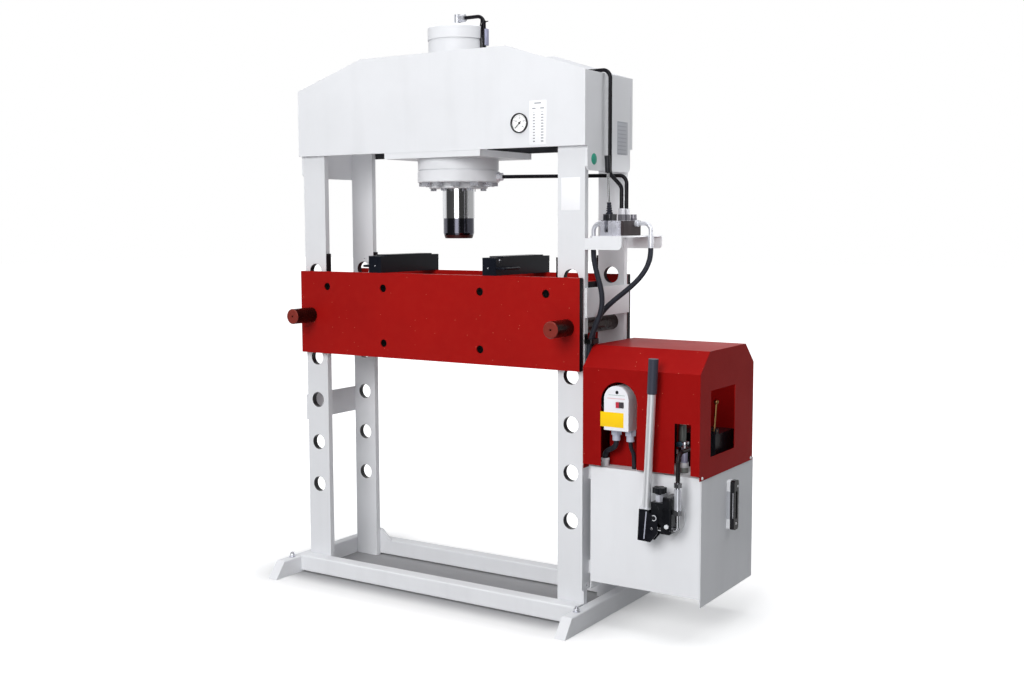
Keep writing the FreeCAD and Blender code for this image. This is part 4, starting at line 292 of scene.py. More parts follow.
# %% Chromed steel, blackened steel and iron
def steel(name, colour, rough, marks, dirt, metal=1.0):
    """marks are the tool marks: how many a metre, how stretched, how deep."""
    metal_finish = Finish(name, metallic=metal)
    scale, stretch, depth = marks
    lines = metal_finish.noise(scale, 3.0, stretch=stretch)
    cloud = metal_finish.ramp(metal_finish.noise(18.0, 5.0), (0.45, 0.0), (0.8, 1.0))
    return metal_finish.wear(
        metal_finish.between(cloud * 0.5, colour, dirt),
        lines * 0.08 + rough + cloud * 0.08, bumps=[(lines, depth)])


chromed_steel = steel("hard_chrome", (0.86, 0.87, 0.89, 1), 0.06,
                      (60.0, (1.0, 1.0, 9.0), 0.00002), (0.86, 0.87, 0.89, 1))
dark_steel = steel("blackened_steel", (0.045, 0.045, 0.05, 1), 0.3,
                   (120.0, (1.0, 1.0, 4.0), 0.00003), (0.12, 0.1, 0.09, 1))
valve_iron = steel("phosphated_valve_iron", (0.045, 0.035, 0.037, 1), 0.36,
                   (240.0, (1.0, 1.0, 1.0), 0.0002), (0.12, 0.1, 0.1, 1), metal=0.7)

# %% [markdown]
# The table pins are black steel under a film of oil, with a painted reflection of the
# red table in their dark red-brown, and their front ends are dipped in red. The dip is
# a mask on the place along the pin: whatever lies within 2.5 mm of the front end takes
# the red, without metal, over the same tool marks that the lathe left.

# %% Oiled pins with a red end
PIN_FRONT, DIP_DEPTH = -0.262, 0.0025

pin = Finish("oiled_pin_steel")
end = pin.places()[1] < PIN_FRONT + DIP_DEPTH
rings = pin.node("TexNoise", {}, {"Vector": pin.node(
    "Mapping", {}, {"Vector": pin.here, "Scale": (1.0, 30.0, 1.0)}), "Scale": 30.0})
oil = pin.ramp(pin.noise(24.0, 4.0), (0.4, 0.0), (0.75, 1.0))
# The pin body's red-brown is a painted reflection of the red table; the oil cloud darkens it at
# random.
oil_and_red_reflection = pin.between(oil, shade(44, 20, 16), shade(20, 9, 8))
pin_finish = pin.wear(pin.between(end, oil_and_red_reflection, shade(126, 42, 32)),
                      end * 0.25 + 0.24 + oil * 0.1, (1 - end) * 0.6,
                      bumps=[(rings, 0.00005)])
print("steels:", [m.name for m in (chromed_steel, dark_steel, valve_iron, pin_finish)])

# %% [markdown]
# ## Black pieces, rubber and plastic
# The support blocks and the motor are painted black over rough stock, so their coat
# follows the grain of the metal beneath and shows a bluish sheen. The steel pipes
# have the same coat, but smooth. Hoses and boot are rubber with almost no gloss;
# knob and gauge case are plastic. The gauge's glass is thin, so it hardly bends light.

# %% Black paint, rubber, plastic, glass
def black_coat(name, colour, rough, grain_depth):
    coat = Finish(name, specular_ior_level=0.22)
    grain = coat.noise(160.0, 5.0, roughness=0.65)
    rub = coat.ramp(coat.noise(9.0, 6.0), (0.5, 0.0), (0.85, 1.0))
    return coat.wear(coat.between(rub * 0.3, colour, shade(44, 46, 54)),
                     rough + rub * 0.12, bumps=[(grain, grain_depth)])


def plain_plastic(name, colour, tint, rough, depth=0.00002, **constants):
    skin = Finish(name, **constants)
    cloud = skin.noise(20.0, 4.0)
    return skin.wear(skin.between(cloud * 0.5, colour, tint), cloud * 0.12 + rough,
                     bumps=[(skin.noise(700.0, 2.0), depth)])


black_paint = black_coat("black_machine_paint", shade(20, 23, 31), 0.32, 0.00012)
cast_black = black_coat("black_cast_iron", shade(20, 21, 25), 0.24, 0.0003)
pipe_black = black_coat("black_gloss_pipe", shade(20, 18, 22), 0.12, 0.00002)
black_plastic = plain_plastic("black_plastic", shade(24, 25, 29), shade(38, 39, 44), 0.3,
                              specular_ior_level=0.25)
black_rubber = plain_plastic("black_rubber", shade(36, 38, 45), shade(50, 52, 60), 0.42,
                             0.00008, specular_ior_level=0.2)
gauge_black = plain_plastic("gauge_black", shade(24, 24, 27), shade(40, 40, 43), 0.25,
                            specular_ior_level=0.25)
gauge_pointer = plain_plastic("pointer_black", shade(18, 18, 18), shade(26, 26, 26), 0.4)
gauge_glass = Finish("gauge_glass", base_color=(1, 1, 1, 1), transmission_weight=1.0,
                     ior=1.05).wear(rough=0.02)

# %% [markdown]
# ## One piece, several finishes
# Some solids are one piece of work but several things to the eye: the pump lever has
# a painted socket, a chromed tube and a rubber grip, and the glands under the switch
# box are grey while the box is white. Cutting the solid would make seams, so these
# finishes choose by place: each zone is a test on X, Y and Z that gives 1 inside it.
# Lines of light that the photo shows and the lamps here don't give are zones, too:
# one on the socket of the pump lever and two on the level gauge.
# Other zones hold painted light as well: painted shade on the middle of the level gauge, a painted
# highlight on its bolt heads, a painted reflection of the red table on the nose's lower end, and
# the valve's nuts whitened as a painted reflection.

# %% Finishes in zones
def zoned(name, base, *zones, grain=(240.0, 0.00004), grime=0.2, **constants):
    """base is a colour, a roughness and a metal share; a zone has its test before them."""
    skin = Finish(name, **constants)
    place = skin.places()
    cloud = skin.ramp(skin.noise(22.0, 5.0), (0.42, 0.0), (0.8, 1.0))
    colour, rough, metal = base
    for where, zone_colour, zone_rough, zone_metal in zones:
        mask = where(*place)
        colour = skin.between(mask, colour, zone_colour)
        rough = (1 - mask) * rough + mask * zone_rough
        metal = (1 - mask) * metal + mask * zone_metal
    return skin.wear(skin.between(cloud * grime, colour, shade(104, 104, 108)),
                     cloud * 0.1 + rough, metal,
                     bumps=[(skin.noise(grain[0], 3.0), grain[1])])


CHROME = ((0.84, 0.85, 0.88, 1), 0.16, 1.0)
ZINC = ((0.72, 0.73, 0.78, 1), 0.26, 0.55)
BLACK = (shade(22, 23, 28), 0.3, 0.0)
BOLT_RADIUS = 0.0038


def socket_fold(x, y, z):
    """A line of light on the fold of the lever's socket, which leans with the lever."""
    return (abs(x - 0.0853 * z - 0.7803) < 0.0017) * (z < 0.399) * (z > 0.318) * (y < -0.2285)


def sight_lines(x, y, z):
    """One line of light on the side of the glass and one in front of it."""
    return (abs(z - 0.3845) < 0.0385) * ((abs(x - 0.9752) < 0.0009) * (y < 0.0262)
                                         + (abs(y - 0.0425) < 0.0011) * (x > 0.972))


def sight_bolts(x, y, z):
    """Heads of the two bolts holding the level gauge, upper and lower; white as painted highlight.
    """
    upper = (y - 0.0505) ** 2.0 + (z - 0.441) ** 2.0
    lower = (y - 0.0405) ** 2.0 + (z - 0.329) ** 2.0
    return ((upper < BOLT_RADIUS ** 2) + (lower < BOLT_RADIUS ** 2)) * (x > 0.978)


valve_lever_finish = zoned("valve_lever_finish", CHROME, (lambda x, y, z: z > 1.374, *BLACK))
pump_lever_finish = zoned(
    "pump_lever_finish", ((0.84, 0.85, 0.88, 1), 0.4, 0.6),
    (lambda x, y, z: z < 0.4045, shade(18, 19, 25), 0.2, 0.0),
    (socket_fold, shade(196, 198, 214), 0.2, 0.3),
    (lambda x, y, z: z > 0.738, shade(58, 60, 72), 0.36, 0.0), grime=0.05,
    specular_ior_level=0.3)
pump_finish = zoned("pump_casting_finish", (shade(18, 19, 23), 0.22, 0.0),
                    (lambda x, y, z: (z > 0.4293) * (x < 0.8655), shade(205, 206, 216), 0.3, 0.2),
                    grain=(160.0, 0.0004), grime=0.1, specular_ior_level=0.3)
housing_finish = zoned("valve_housing_finish", ((0.7, 0.7, 0.78, 1), 0.26, 0.5),
                       (lambda x, y, z: z > 1.2335, *BLACK), grain=(260.0, 0.0002), grime=0.35)
box_finish = zoned(
    "switch_box_finish", (shade(236, 236, 241), 0.3, 0.0),
    (lambda x, y, z: (abs(z - 0.7225) < 0.0007) * (abs(x - 0.694) < 0.027) * (y < -0.1865),
     shade(150, 178, 168), 0.3, 0.0),
    (lambda x, y, z: (abs(z - 0.7125) < 0.0016) * (abs(x - 0.692) < 0.029) * (y < -0.1865),
     shade(226, 196, 202), 0.3, 0.0),
    (lambda x, y, z: z < 0.617, shade(186, 190, 206), 0.35, 0.0), grime=0.03)
rocker_finish = zoned("rocker_finish", (shade(66, 62, 68), 0.3, 0.0),
                      (lambda x, y, z: x < 0.702, shade(190, 40, 62), 0.3, 0.0), grime=0.05)
sight_finish = zoned(
    "level_gauge_finish", (shade(236, 237, 240), 0.22, 0.0),
    # The grey middle between the end blocks is painted shade.
    (lambda x, y, z: (abs(z - 0.385) < 0.042) * (x < 0.966), shade(188, 190, 196), 0.3, 0.0),
    (lambda x, y, z: x > 0.966, shade(20, 20, 24), 0.24, 0.0),
    (sight_lines, shade(206, 206, 212), 0.2, 0.0),
    # Real bolt heads, their near white a painted highlight.
    (sight_bolts, shade(240, 240, 244), 0.2, 0.0), grime=0.04)
column_finish = zoned("check_valve_finish", ((0.78, 0.79, 0.84, 1), 0.14, 1.0),
                      (lambda x, y, z: z > 0.4895, shade(40, 34, 36), 0.16, 0.5),
                      (lambda x, y, z: (z > 0.412) * (z < 0.4725), shade(226, 228, 236), 0.12, 0.6),
                      grime=0.1)
bright_zinc = zoned("bright_zinc", ZINC, grime=0.25)
fitting_zinc = zoned("fitting_zinc", ZINC,
                     (lambda x, y, z: (z > 1.234) * (x > 0.6) * (x < 0.64),
                      (0.34, 0.33, 0.37, 1), 0.18, 0.7),
                     # The nuts: bright zinc, made near white as a painted reflection.
                     (lambda x, y, z: z > 1.2525, shade(222, 222, 228), 0.2, 0.3), grime=0.15)
brass = zoned("brass", ((0.55, 0.3, 0.12, 1), 0.28, 1.0), grime=0.1)
# The nose's lower end is dark red: a painted reflection of the red table below.
nose_steel = zoned("ram_nose_steel", ((0.13, 0.13, 0.16, 1), 0.13, 1.0),
                   (lambda x, y, z: z < 1.188, shade(52, 10, 8), 0.4, 0.0), grime=0.1)
print("zoned finishes ready")

# %% [markdown]
# ## The CAD nodes take their finishes
# Every solid of the frame stays as it was measured and only gets its finish. One
# table says which finish goes on which solids, so it is easy to see that none is
# left out.

# %% Finishes on the solids
WEARS = {
    grey_paint: ("base_beams foot_left foot_right head_front_plate head_end_plate_left "
                 "head_end_plate_right ram_seat_plate tie_plates cylinder_barrel "
                 "cylinder_cap cylinder_ring cylinder_gland tank_bracket valve_bracket"),
    upright_paint: ("upright_front_left upright_front_right upright_rear_left "
                    "upright_rear_right"),
    rear_paint: "head_rear_plate",
    tank_finish: "tank",
    red_paint: "table_front_plate table_rear_plate",
    spacer_paint: "table_spacers",
    cover_paint: "power_unit_cover",
    black_paint: "support_block_left support_block_right",
    cast_black: "motor manifold",
    pump_finish: "hand_pump_body",
    pin_finish: "table_pin_left table_pin_right",
    chromed_steel: "ram_rod hand_pump_plunger",
    pump_lever_finish: "hand_pump_lever",
    column_finish: "check_valve",
    pipe_black: "upper_pipe lower_pipe",
    dark_steel: "piston table_screws valve_spool hose_clamp",
    nose_steel: "ram_nose",
    valve_lever_finish: "valve_lever",
    bright_zinc: "cylinder_bolts port_fittings",
    fitting_zinc: "valve_fittings",
    brass: "selector_lever",
    valve_iron: "valve_body",
    housing_finish: "valve_lever_housing",
    sight_finish: "level_gauge",
    black_plastic: "release_knob",
    black_rubber: "lever_boot pressure_hose return_hose cables",
    box_finish: "switch_box",
    rocker_finish: "rocker_switch",
    gauge_black: "gauge_case",
    gauge_glass: "gauge_glass",
    gauge_pointer: "gauge_needle",
}
dressed = set()
for finish, nodes in WEARS.items():
    for node_name in nodes.split():
        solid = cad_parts[node_name]
        solid.data.materials.clear()
        solid.data.materials.append(finish)
        dressed.add(node_name)
print("bare nodes:", sorted(set(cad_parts) - dressed))

# %% [markdown]
# ## Hoses
# Two rubber hoses hang from the valve beside the right upright, pass its clamp and
# go down into the power unit. A hose is one thickness along one line, so a curve
# with a round bevel is the natural tool.

# %% A free hose on its run
def hang_hose(name, run, diameter, finish, body="frame"):
    line = bpy.data.curves.new(name, "CURVE")
    line.dimensions, line.bevel_depth = "3D", diameter / 2
    line.bevel_resolution, line.resolution_u, line.use_fill_caps = 5, 8, True
    spline = line.splines.new("NURBS")
    spline.points.add(len(run) - 1)
    for point, place in zip(spline.points, run):
        point.co = (*(v / 1000 for v in place), 1)
    spline.order_u, spline.use_endpoint_u = 3, True
    hose = bpy.data.objects.new(name, line)
    bpy.context.scene.collection.objects.link(hose)
    line.materials.append(finish)
    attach(hose, body)
    return hose


pressure_run = [
    (569.5, -105, 1150), (569.5, -105, 1134), (573, -106, 1108), (582.5, -109, 1078),
    (595, -112, 1046), (604.5, -115.5, 1014), (607.5, -119, 982), (601.5, -122.5, 950),
    (589.5, -125.5, 918), (577, -128, 888), (568.8, -129.5, 859), (567.5, -130, 828),
    (567.5, -129.6, 790), (572, -127, 756), (583, -121, 723), (600, -113, 693),
    (618, -104, 664), (632, -97, 632), (639, -94.5, 604), (640, -94, 578), (640, -94, 548)]
return_run = [
    (696, 26, 1150), (696, 26, 1136), (693.9, 23.8, 1114), (686.6, 16.2, 1088),
    (673.8, 2.9, 1062), (655.8, -15.8, 1037), (637.2, -35.1, 1016), (619.2, -53.8, 997),
    (599, -74.9, 973), (583.8, -90.7, 947), (574, -100.9, 920), (569, -106.1, 893),
    (567.6, -107.5, 865), (567.5, -107, 830), (567.5, -106, 794), (571, -103, 758),
    (581, -96, 724), (596, -87, 692), (611, -78.5, 660), (621, -73.5, 626),
    (625, -72, 578), (625, -72, 548)]
pressure_hose = hang_hose("pressure_hose_rubber", pressure_run, 0.016, black_rubber)
return_hose = hang_hose("return_hose_rubber", return_run, 0.016, black_rubber)
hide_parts("pressure_hose")
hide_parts("return_hose")

# %% [markdown]
# Two short cables leave the switch box through its glands. The right one is plain
# and dives beside the recessed panel to the tank. The left one wears a thick sleeve
# and swings over to its own stub, so it is drawn as a soft S between two straight
# ends, with its bends as wide as the room allows. It is only five diameters long and
# held at both ends, so it counts as a bent sleeve and not as a cord that hangs.

# %% Two short cables
right_cable = hang_hose("cable_right", [
    (719, -145, 581), (719, -145, 563), (725, -135, 545), (725, -133, 515),
    (725, -133, 497.3)], 0.0125, black_rubber)
left_cable = hang_hose("cable_left", [
    (672, -145, 581), (672, -145, 572), (667.5, -143.5, 560.5), (649.2, -137.5, 551),
    (631, -131.5, 541.5), (626.5, -130, 530), (626.5, -130, 521)], 0.016, black_rubber)
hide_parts("cables")
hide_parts("cables")
print("hoses: 2, cables:", len((right_cable, left_cable)))

# %% [markdown]
# ## A bench for small pieces
# The pieces that follow are too small for the CAD: nuts, labels, the dial, the boot.
# Two ways of making cover nearly all of them. A slab is sawn from flat stock and its
# edges are broken. A turned piece comes from a lathe, so it starts as one ring that
# is pulled up and widened or narrowed step by step. Both end at the origin with
# their place in the mesh.

# %% Sawing, turning, breaking edges
TURNS = {"X": (0, math.pi / 2, 0), "Y": (math.pi / 2, 0, 0), "Z": (0, 0, 0)}


def alone(piece):
    bpy.ops.object.select_all(action="DESELECT")
    piece.select_set(True)
    bpy.context.view_layer.objects.active = piece


def settle(piece):
    """Writes the place, turn and size into the mesh."""
    alone(piece)
    bpy.ops.object.transform_apply(location=True, rotation=True, scale=True)
    return piece


def soften(piece, width):
    """Breaks the sharp edges by a width in millimetres."""
    alone(piece)
    bpy.ops.object.mode_set(mode="EDIT")
    bpy.ops.mesh.select_mode(type="EDGE")
    bpy.ops.mesh.select_all(action="DESELECT")
    bpy.ops.mesh.edges_select_sharp(sharpness=math.radians(40))
    bpy.ops.mesh.bevel(offset=width / 1000, segments=2)
    bpy.ops.mesh.select_all(action="SELECT")
    bpy.ops.mesh.normals_make_consistent(inside=False)
    bpy.ops.object.mode_set(mode="OBJECT")
    return piece


def slab(name, low, high, edge):
    """A block between two corners in millimetres, with broken edges."""
    low, high = Vector(low) / 1000, Vector(high) / 1000
    bpy.ops.mesh.primitive_cube_add(size=1, location=(low + high) / 2, scale=high - low)
    piece = bpy.context.object
    piece.name = name
    return soften(settle(piece), edge)


def turned(name, rings, middle, along="Z", sides=32, edge=0.0):
    """A lathe piece from rings of (diameter, height), standing along X, -Y or Z."""
    (diameter, height), *rest = rings
    bpy.ops.mesh.primitive_circle_add(vertices=sides, radius=diameter / 2000,
                                      fill_type="NGON", location=(0, 0, height / 1000))
    piece = settle(bpy.context.object)
    piece.name = name
    bpy.ops.object.mode_set(mode="EDIT")
    bpy.ops.mesh.select_all(action="SELECT")
    for next_diameter, next_height in rest:
        bpy.ops.mesh.extrude_region_move(
            TRANSFORM_OT_translate={"value": (0, 0, (next_height - height) / 1000)})
        bpy.ops.transform.resize(value=(next_diameter / diameter,) * 2 + (1,),
                                 center_override=(0, 0, 0))
        diameter, height = next_diameter, next_height
    bpy.ops.mesh.select_all(action="SELECT")
    bpy.ops.mesh.normals_make_consistent(inside=False)
    bpy.ops.object.mode_set(mode="OBJECT")
    piece.rotation_euler, piece.location = TURNS[along], Vector(middle) / 1000
    settle(piece)
    return soften(piece, edge) if edge else piece


def again(piece, name, move):
    """A copy with a mesh of its own, moved by millimetres."""
    twin = piece.copy()
    twin.data, twin.name = piece.data.copy(), name
    twin.data.transform(Matrix.Translation(Vector(move) / 1000))
    bpy.context.scene.collection.objects.link(twin)
    return twin


def dress(piece, finish, body="frame"):
    """Smooth where it is round, finished, and on its body if one is named."""
    alone(piece)
    bpy.ops.object.shade_smooth_by_angle(angle=math.radians(35))
    piece.data.materials.clear()
    piece.data.materials.append(finish)
    if body:
        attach(piece, body)
    return piece


bright_nut = zoned("bright_nut", ((0.72, 0.73, 0.78, 1), 0.2, 0.95), grime=0.1)
lilac_nut = zoned("lilac_zinc", (shade(176, 178, 204), 0.3, 0.3), grime=0.1)
white_steel = zoned("white_steel", (shade(226, 228, 232), 0.3, 0.1), grime=0.1)

# %% [markdown]
# ## Labels
# A label is a foil about 0.4 mm thick. Names, marks and words stay off it. The
# pressure chart keeps what any chart has, two columns of grey dashes under a
# heading, and that is print, so it is a pattern in the finish: rows by the remainder
# of the height, columns by two bands across. A plain foil has its print nowhere.

# %% Foils on the head, the upright and the switch box
def printed(name, paper, ink, where):
    return zoned(name, (paper, 0.32, 0.0), (where, ink, 0.32, 0.0), grime=0.02,
                 grain=(900.0, 0.000004))


def nowhere(x, y, z):
    """Far above the press, so it is 0 on every foil."""
    return z > 9.0


def chart(x, y, z):
    """Rows of dashes in two columns, a short line over each and one over both."""
    rows = ((z - 1.4728) % 0.0088 < 0.0028) * (z > 1.472) * (z < 1.562)
    columns = (abs(x - 0.3887) < 0.0034) + (abs(x - 0.4178) < 0.0044)
    heading = (abs(z - 1.588) < 0.0016) * (abs(x - 0.402) < 0.012)
    titles = (abs(z - 1.5725) < 0.0015) * ((abs(x - 0.3887) < 0.006) + (abs(x - 0.4178) < 0.007))
    return rows * columns + heading + titles


chart_print = printed("chart_print", shade(250, 250, 252), shade(128, 130, 138), chart)
plain_print = printed("plain_white_print", shade(249, 249, 252), shade(249, 249, 252),
                      nowhere)
plate_print = printed("silver_plate_print", shade(182, 184, 190), shade(160, 162, 170),
                      lambda x, y, z: ((z - 1.44) % 0.012 < 0.003) * (abs(y - 0.083) < 0.028))
teal_print = printed("teal_print", shade(32, 158, 132), shade(32, 158, 132), nowhere)
yellow_print = printed("yellow_print", shade(255, 208, 4), shade(255, 208, 4), nowhere)

FOILS = [
    ("chart_label", (372, -153.35, 1464), (432, -152.95, 1596), chart_print),
    ("upright_label", (476, -138.35, 1265), (541, -137.95, 1363), plain_print),
    ("end_plate_label", (565.95, 50, 1438), (566.35, 120, 1540), plate_print),
    ("switch_label", (640, -187.4, 627), (717, -186.95, 671), yellow_print),
]
for name, low, high, finish in FOILS:
    dress(slab(name, low, high, 0.12), finish)
dress(turned("round_label", [(33.6, -0.05), (34, 0.1), (34, 0.3), (33.6, 0.4)],
             (566, -97.5, 1418), "X"), teal_print)
dress(turned("switch_lamp", [(10, -0.1), (10, 0.5), (8.5, 1.1), (5, 1.4)],
             (695, -187, 731), "Y"), black_plastic)
print("labels:", len(FOILS) + 1, "and the lamp of the switch")

# %% [markdown]
# ## The dial
# A tin disc with a hole for the spindle lies on the floor of the gauge's case. Its
# scale runs over 270 degrees, with a long tick at every tenth unit. The ticks are
# print: an angle and a distance from the middle say where the ink goes. The five
# numbers are cut from thin foil and laid on the disc.

# %% Disc, ticks and numbers
GAUGE = (337, -153, 1531)
ZERO_ANGLE, TEN_UNITS, SCALE_ANGLE = 225.0, 67.5, 270.0  # degrees, clockwise from zero


def scale_ink(x, y, z):
    across, up = x - GAUGE[0] / 1000, z - GAUGE[2] / 1000
    far = (across ** 2.0 + up ** 2.0) ** 0.5
    angle = across.maths("ARCTAN2", up, across) * (180 / math.pi)
    turn = (ZERO_ANGLE + 360.0 - angle) % 360.0
    on_scale = turn + 0.8
    small = (on_scale % (TEN_UNITS / 5) < 1.6) * (abs(far - 0.0222) < 0.0012)
    large = (on_scale % TEN_UNITS < 2.4) * (abs(far - 0.0212) < 0.0022)
    return (small + large + (abs(far - 0.0236) < 0.0002)) * (turn < SCALE_ANGLE + 1.0)


dial_print = printed("dial_print", shade(252, 252, 253), shade(60, 60, 66), scale_ink)
dial = turned("gauge_dial", [(52.4, -0.02), (52.6, 0.1), (52.6, 0.3), (52.4, 0.4)], GAUGE, "Y", 64)
alone(dial)
bpy.ops.object.mode_set(mode="EDIT")
bpy.ops.mesh.select_mode(type="FACE")
bpy.ops.mesh.select_all(action="DESELECT")
disc = bmesh.from_edit_mesh(dial.data)
for face in disc.faces:
    face.select = len(face.verts) > 8
bmesh.update_edit_mesh(dial.data)
bpy.ops.mesh.inset(thickness=0.0234)
bpy.ops.mesh.bridge_edge_loops()
bpy.ops.object.mode_set(mode="OBJECT")
dress(dial, dial_print)

DIGIT_RING = 15
digits = []
for step in range(5):
    angle = math.radians(ZERO_ANGLE - TEN_UNITS * step)
    bpy.ops.object.text_add(location=(
        (GAUGE[0] + DIGIT_RING * math.cos(angle)) / 1000, (GAUGE[1] - 0.35) / 1000,
        (GAUGE[2] + DIGIT_RING * math.sin(angle)) / 1000), rotation=(math.pi / 2, 0, 0))
    number = bpy.context.object
    number.data.body, number.data.size, number.data.extrude = str(10 * step), 0.0068, 0.0001
    number.data.align_x, number.data.align_y = "CENTER", "CENTER"
    bpy.ops.object.convert(target="MESH")
    digits.append(settle(bpy.context.object))
bpy.ops.object.select_all(action="DESELECT")
for number in digits:
    number.select_set(True)
bpy.context.view_layer.objects.active = digits[0]
bpy.ops.object.join()
numbers = bpy.context.object
numbers.name = "gauge_numbers"
dress(numbers, gauge_pointer)
print("dial with", len(digits), "numbers")

# %% [markdown]
# ## Valve lever
# A ribbed rubber boot keeps dust out of the slot in which the lever tips. Its foot
# sits on the housing and its collar grips the rod; here it is one fixed shape and does
# not bend with the lever. It is moulded, with four folds that narrow upwards, and
# leans five degrees with the lever.

# %% Ribbed boot
LEAN = math.radians(-5)

boot = turned("ribbed_boot", [
    (20, 1253.1), (21, 1255.5), (19, 1258), (13.6, 1259.5), (13.6, 1261), (18.6, 1263),
    (18.6, 1264.6), (12.6, 1267), (12.6, 1268.2), (17, 1270), (17, 1271.4), (12, 1273.6),
    (12, 1274.8), (15.4, 1276.6), (15.4, 1277.8), (11.4, 1280), (11.4, 1282), (13, 1283),
    (13, 1287.4), (11.4, 1288.2)], (618, -92, 0))
alone(boot)
bpy.ops.object.mode_set(mode="EDIT")
bpy.ops.mesh.select_all(action="SELECT")
bpy.ops.transform.rotate(value=LEAN, orient_axis="X",
                         center_override=(0.618, -0.092, 1.216))
bpy.ops.object.mode_set(mode="OBJECT")
dress(boot, black_rubber, body=None)
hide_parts("lever_boot")
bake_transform(boot)
print("boot from", [round(min(v.co[i] for v in boot.data.vertices), 4) for i in range(3)])

# %% [markdown]
# ## Nuts, screws and clips
# The feet are bolted down with domed nuts at their ends. A washer, a hexagon and a
# dome are one turned piece each; a circle with six sides makes the hexagon, and its
# corners are broken by the bevel as a nut's are by the lathe.

# %% Domed nuts on the feet
FIRST_BOLT, BOLTS_ACROSS, BOLTS_DEEP = (-576, -215, 57), 1152, 430

washer = turned("foot_washer_1", [(24, -0.1), (24, 1.6), (23, 2.0)], FIRST_BOLT)
nut = turned("foot_nut_1", [(19.6, 1.9), (19.6, 10.5)], FIRST_BOLT, sides=6, edge=0.5)
dome = turned("foot_dome_1", [(14.6, 10.2), (14.6, 12), (13.4, 14.6), (10.4, 16.8),
                              (5.6, 18.2), (1.2, 18.6)], FIRST_BOLT)
for piece in (washer, nut, dome):
    stem = piece.name[:-1]
    for count, move in enumerate([(BOLTS_ACROSS, 0, 0), (0, BOLTS_DEEP, 0),
                                  (BOLTS_ACROSS, BOLTS_DEEP, 0)], 2):
        dress(again(piece, stem + str(count), move), bright_nut)
    dress(piece, bright_nut)
print("foot bolts: 4")

# %% [markdown]
# Small screws hold the cover's rim. A bolt, the cap of the wrist pin and a snap ring
# sit on the hand pump. The ring is a wire bent almost into a circle, open at one
# side, so that pliers can spread it.

# %% Cover screws, pump bolt and snap ring
RING_X, RING_Z = 0.8390, 0.3830

for count, y in enumerate((-163, 205), 1):
    dress(turned(f"cover_screw_{count}", [(9.4, -0.1), (9.4, 1.2), (7.6, 2.6), (4.4, 3.2)],
                 (957, y, 499.5), "X"), white_steel)
dress(turned("pump_flange_bolt", [(14, -0.3), (14, 5)], (880, -231, 363), "Y", 6, 0.5),
      white_steel)
dress(turned("wrist_pin_cap", [(9, -0.1), (9, 1.2), (6.6, 2.6), (2.4, 3.1)],
             (833, -231, 351), "Y"), bright_nut, "plunger")

bpy.ops.mesh.primitive_torus_add(location=(RING_X, -0.2313, RING_Z), rotation=(math.pi / 2, 0, 0),
                                 major_radius=0.0074, minor_radius=0.0012,
                                 major_segments=40, minor_segments=10)
snap_ring = settle(bpy.context.object)
snap_ring.name = "pivot_snap_ring"
bpy.ops.object.mode_set(mode="EDIT")
bpy.ops.mesh.select_mode(type="VERT")
bpy.ops.mesh.select_all(action="DESELECT")
wire = bmesh.from_edit_mesh(snap_ring.data)
for vertex in wire.verts:
    vertex.select = vertex.co.x < RING_X - 0.0045 and abs(vertex.co.z - RING_Z) < 0.006
bmesh.update_edit_mesh(snap_ring.data)
bpy.ops.mesh.delete(type="VERT")
bpy.ops.mesh.select_mode(type="EDGE")
bpy.ops.mesh.select_all(action="DESELECT")
bpy.ops.mesh.select_non_manifold()
bpy.ops.mesh.edge_face_add()
bpy.ops.mesh.select_all(action="SELECT")
bpy.ops.mesh.normals_make_consistent(inside=False)
bpy.ops.object.mode_set(mode="OBJECT")
dress(snap_ring, white_steel)
print("opening of the snap ring at x <", round(RING_X - 0.0045, 4))

# %% [markdown]
# A bolt holds the tank's bracket to the right upright, and two smaller ones stick
# out under the valve's bracket. A thin seam shows where the head's front plate meets
# the seat plate of the cylinder.

# %% Bolts of the brackets, seam under the head
dress(turned("bracket_bolt", [(15, -0.1), (15, 5.5), (12, 6.5)], (558, -128, 118), "X", 6, 0.5),
      bright_nut)
for count, y in enumerate((-30, 52), 1):
    dress(turned(f"valve_bolt_{count}", [(6, 1177), (7.4, 1178), (7.4, 1184.2)], (640, y, 0),
                 "Z", 6, 0.4), white_steel)
dress(slab("seat_seam", (-190, -153.7, 1455.6), (190, -152.9, 1457.4), 0.3),
      upright_paint)
print("bracket bolts: 3")

# %% [markdown]
# ## Behind the slit of the cover
# The slit beside the pump shows a short stack of pressure fittings on the tank: a
# grey boss, a white hexagon, a plated sleeve, a bright ring and the cap above.
# Beside it a blue-green union joins the feed pipe.

# %% Fittings in the slit
grey_iron = zoned("grey_iron", (shade(126, 132, 128), 0.4, 0.2), grime=0.3)
union_blue = zoned("union_blue", (shade(52, 96, 118), 0.3, 0.3), grime=0.2)
STACK = [
    ("slit_boss", [(26, 496.9), (26, 510), (24, 512)], 32, grey_iron, 872),
    ("slit_hexagon", [(27, 512), (27, 527)], 6, white_steel, 872),
    ("slit_sleeve", [(20, 526.9), (20, 560), (18, 562), (18, 570)], 32, lilac_nut, 873),
    ("slit_ring", [(24, 569.9), (26, 572), (26, 588), (24, 590)], 32, bright_nut, 874),
    ("slit_cap", [(22, 589.9), (23, 600), (23, 636), (19, 640)], 32, grey_iron, 866),
]
for name, rings, sides, finish, x in STACK:
    dress(turned(name, rings, (x, -100, 0), "Z", sides, 0.6), finish)
dress(turned("slit_union", [(20, -4), (20, 6), (16, 8), (16, 15), (12, 16)], (862, -104, 582),
             "Y", 32, 0.6), union_blue)
print("fittings behind the slit:", len(STACK) + 1)

# %% [markdown]
# ## Riser beside the cylinder
# The pipe to the cap shares its way with two thin leak-oil lines. A light clip sits
# on it above the head, and a tie with a free tip bundles them at the bend.

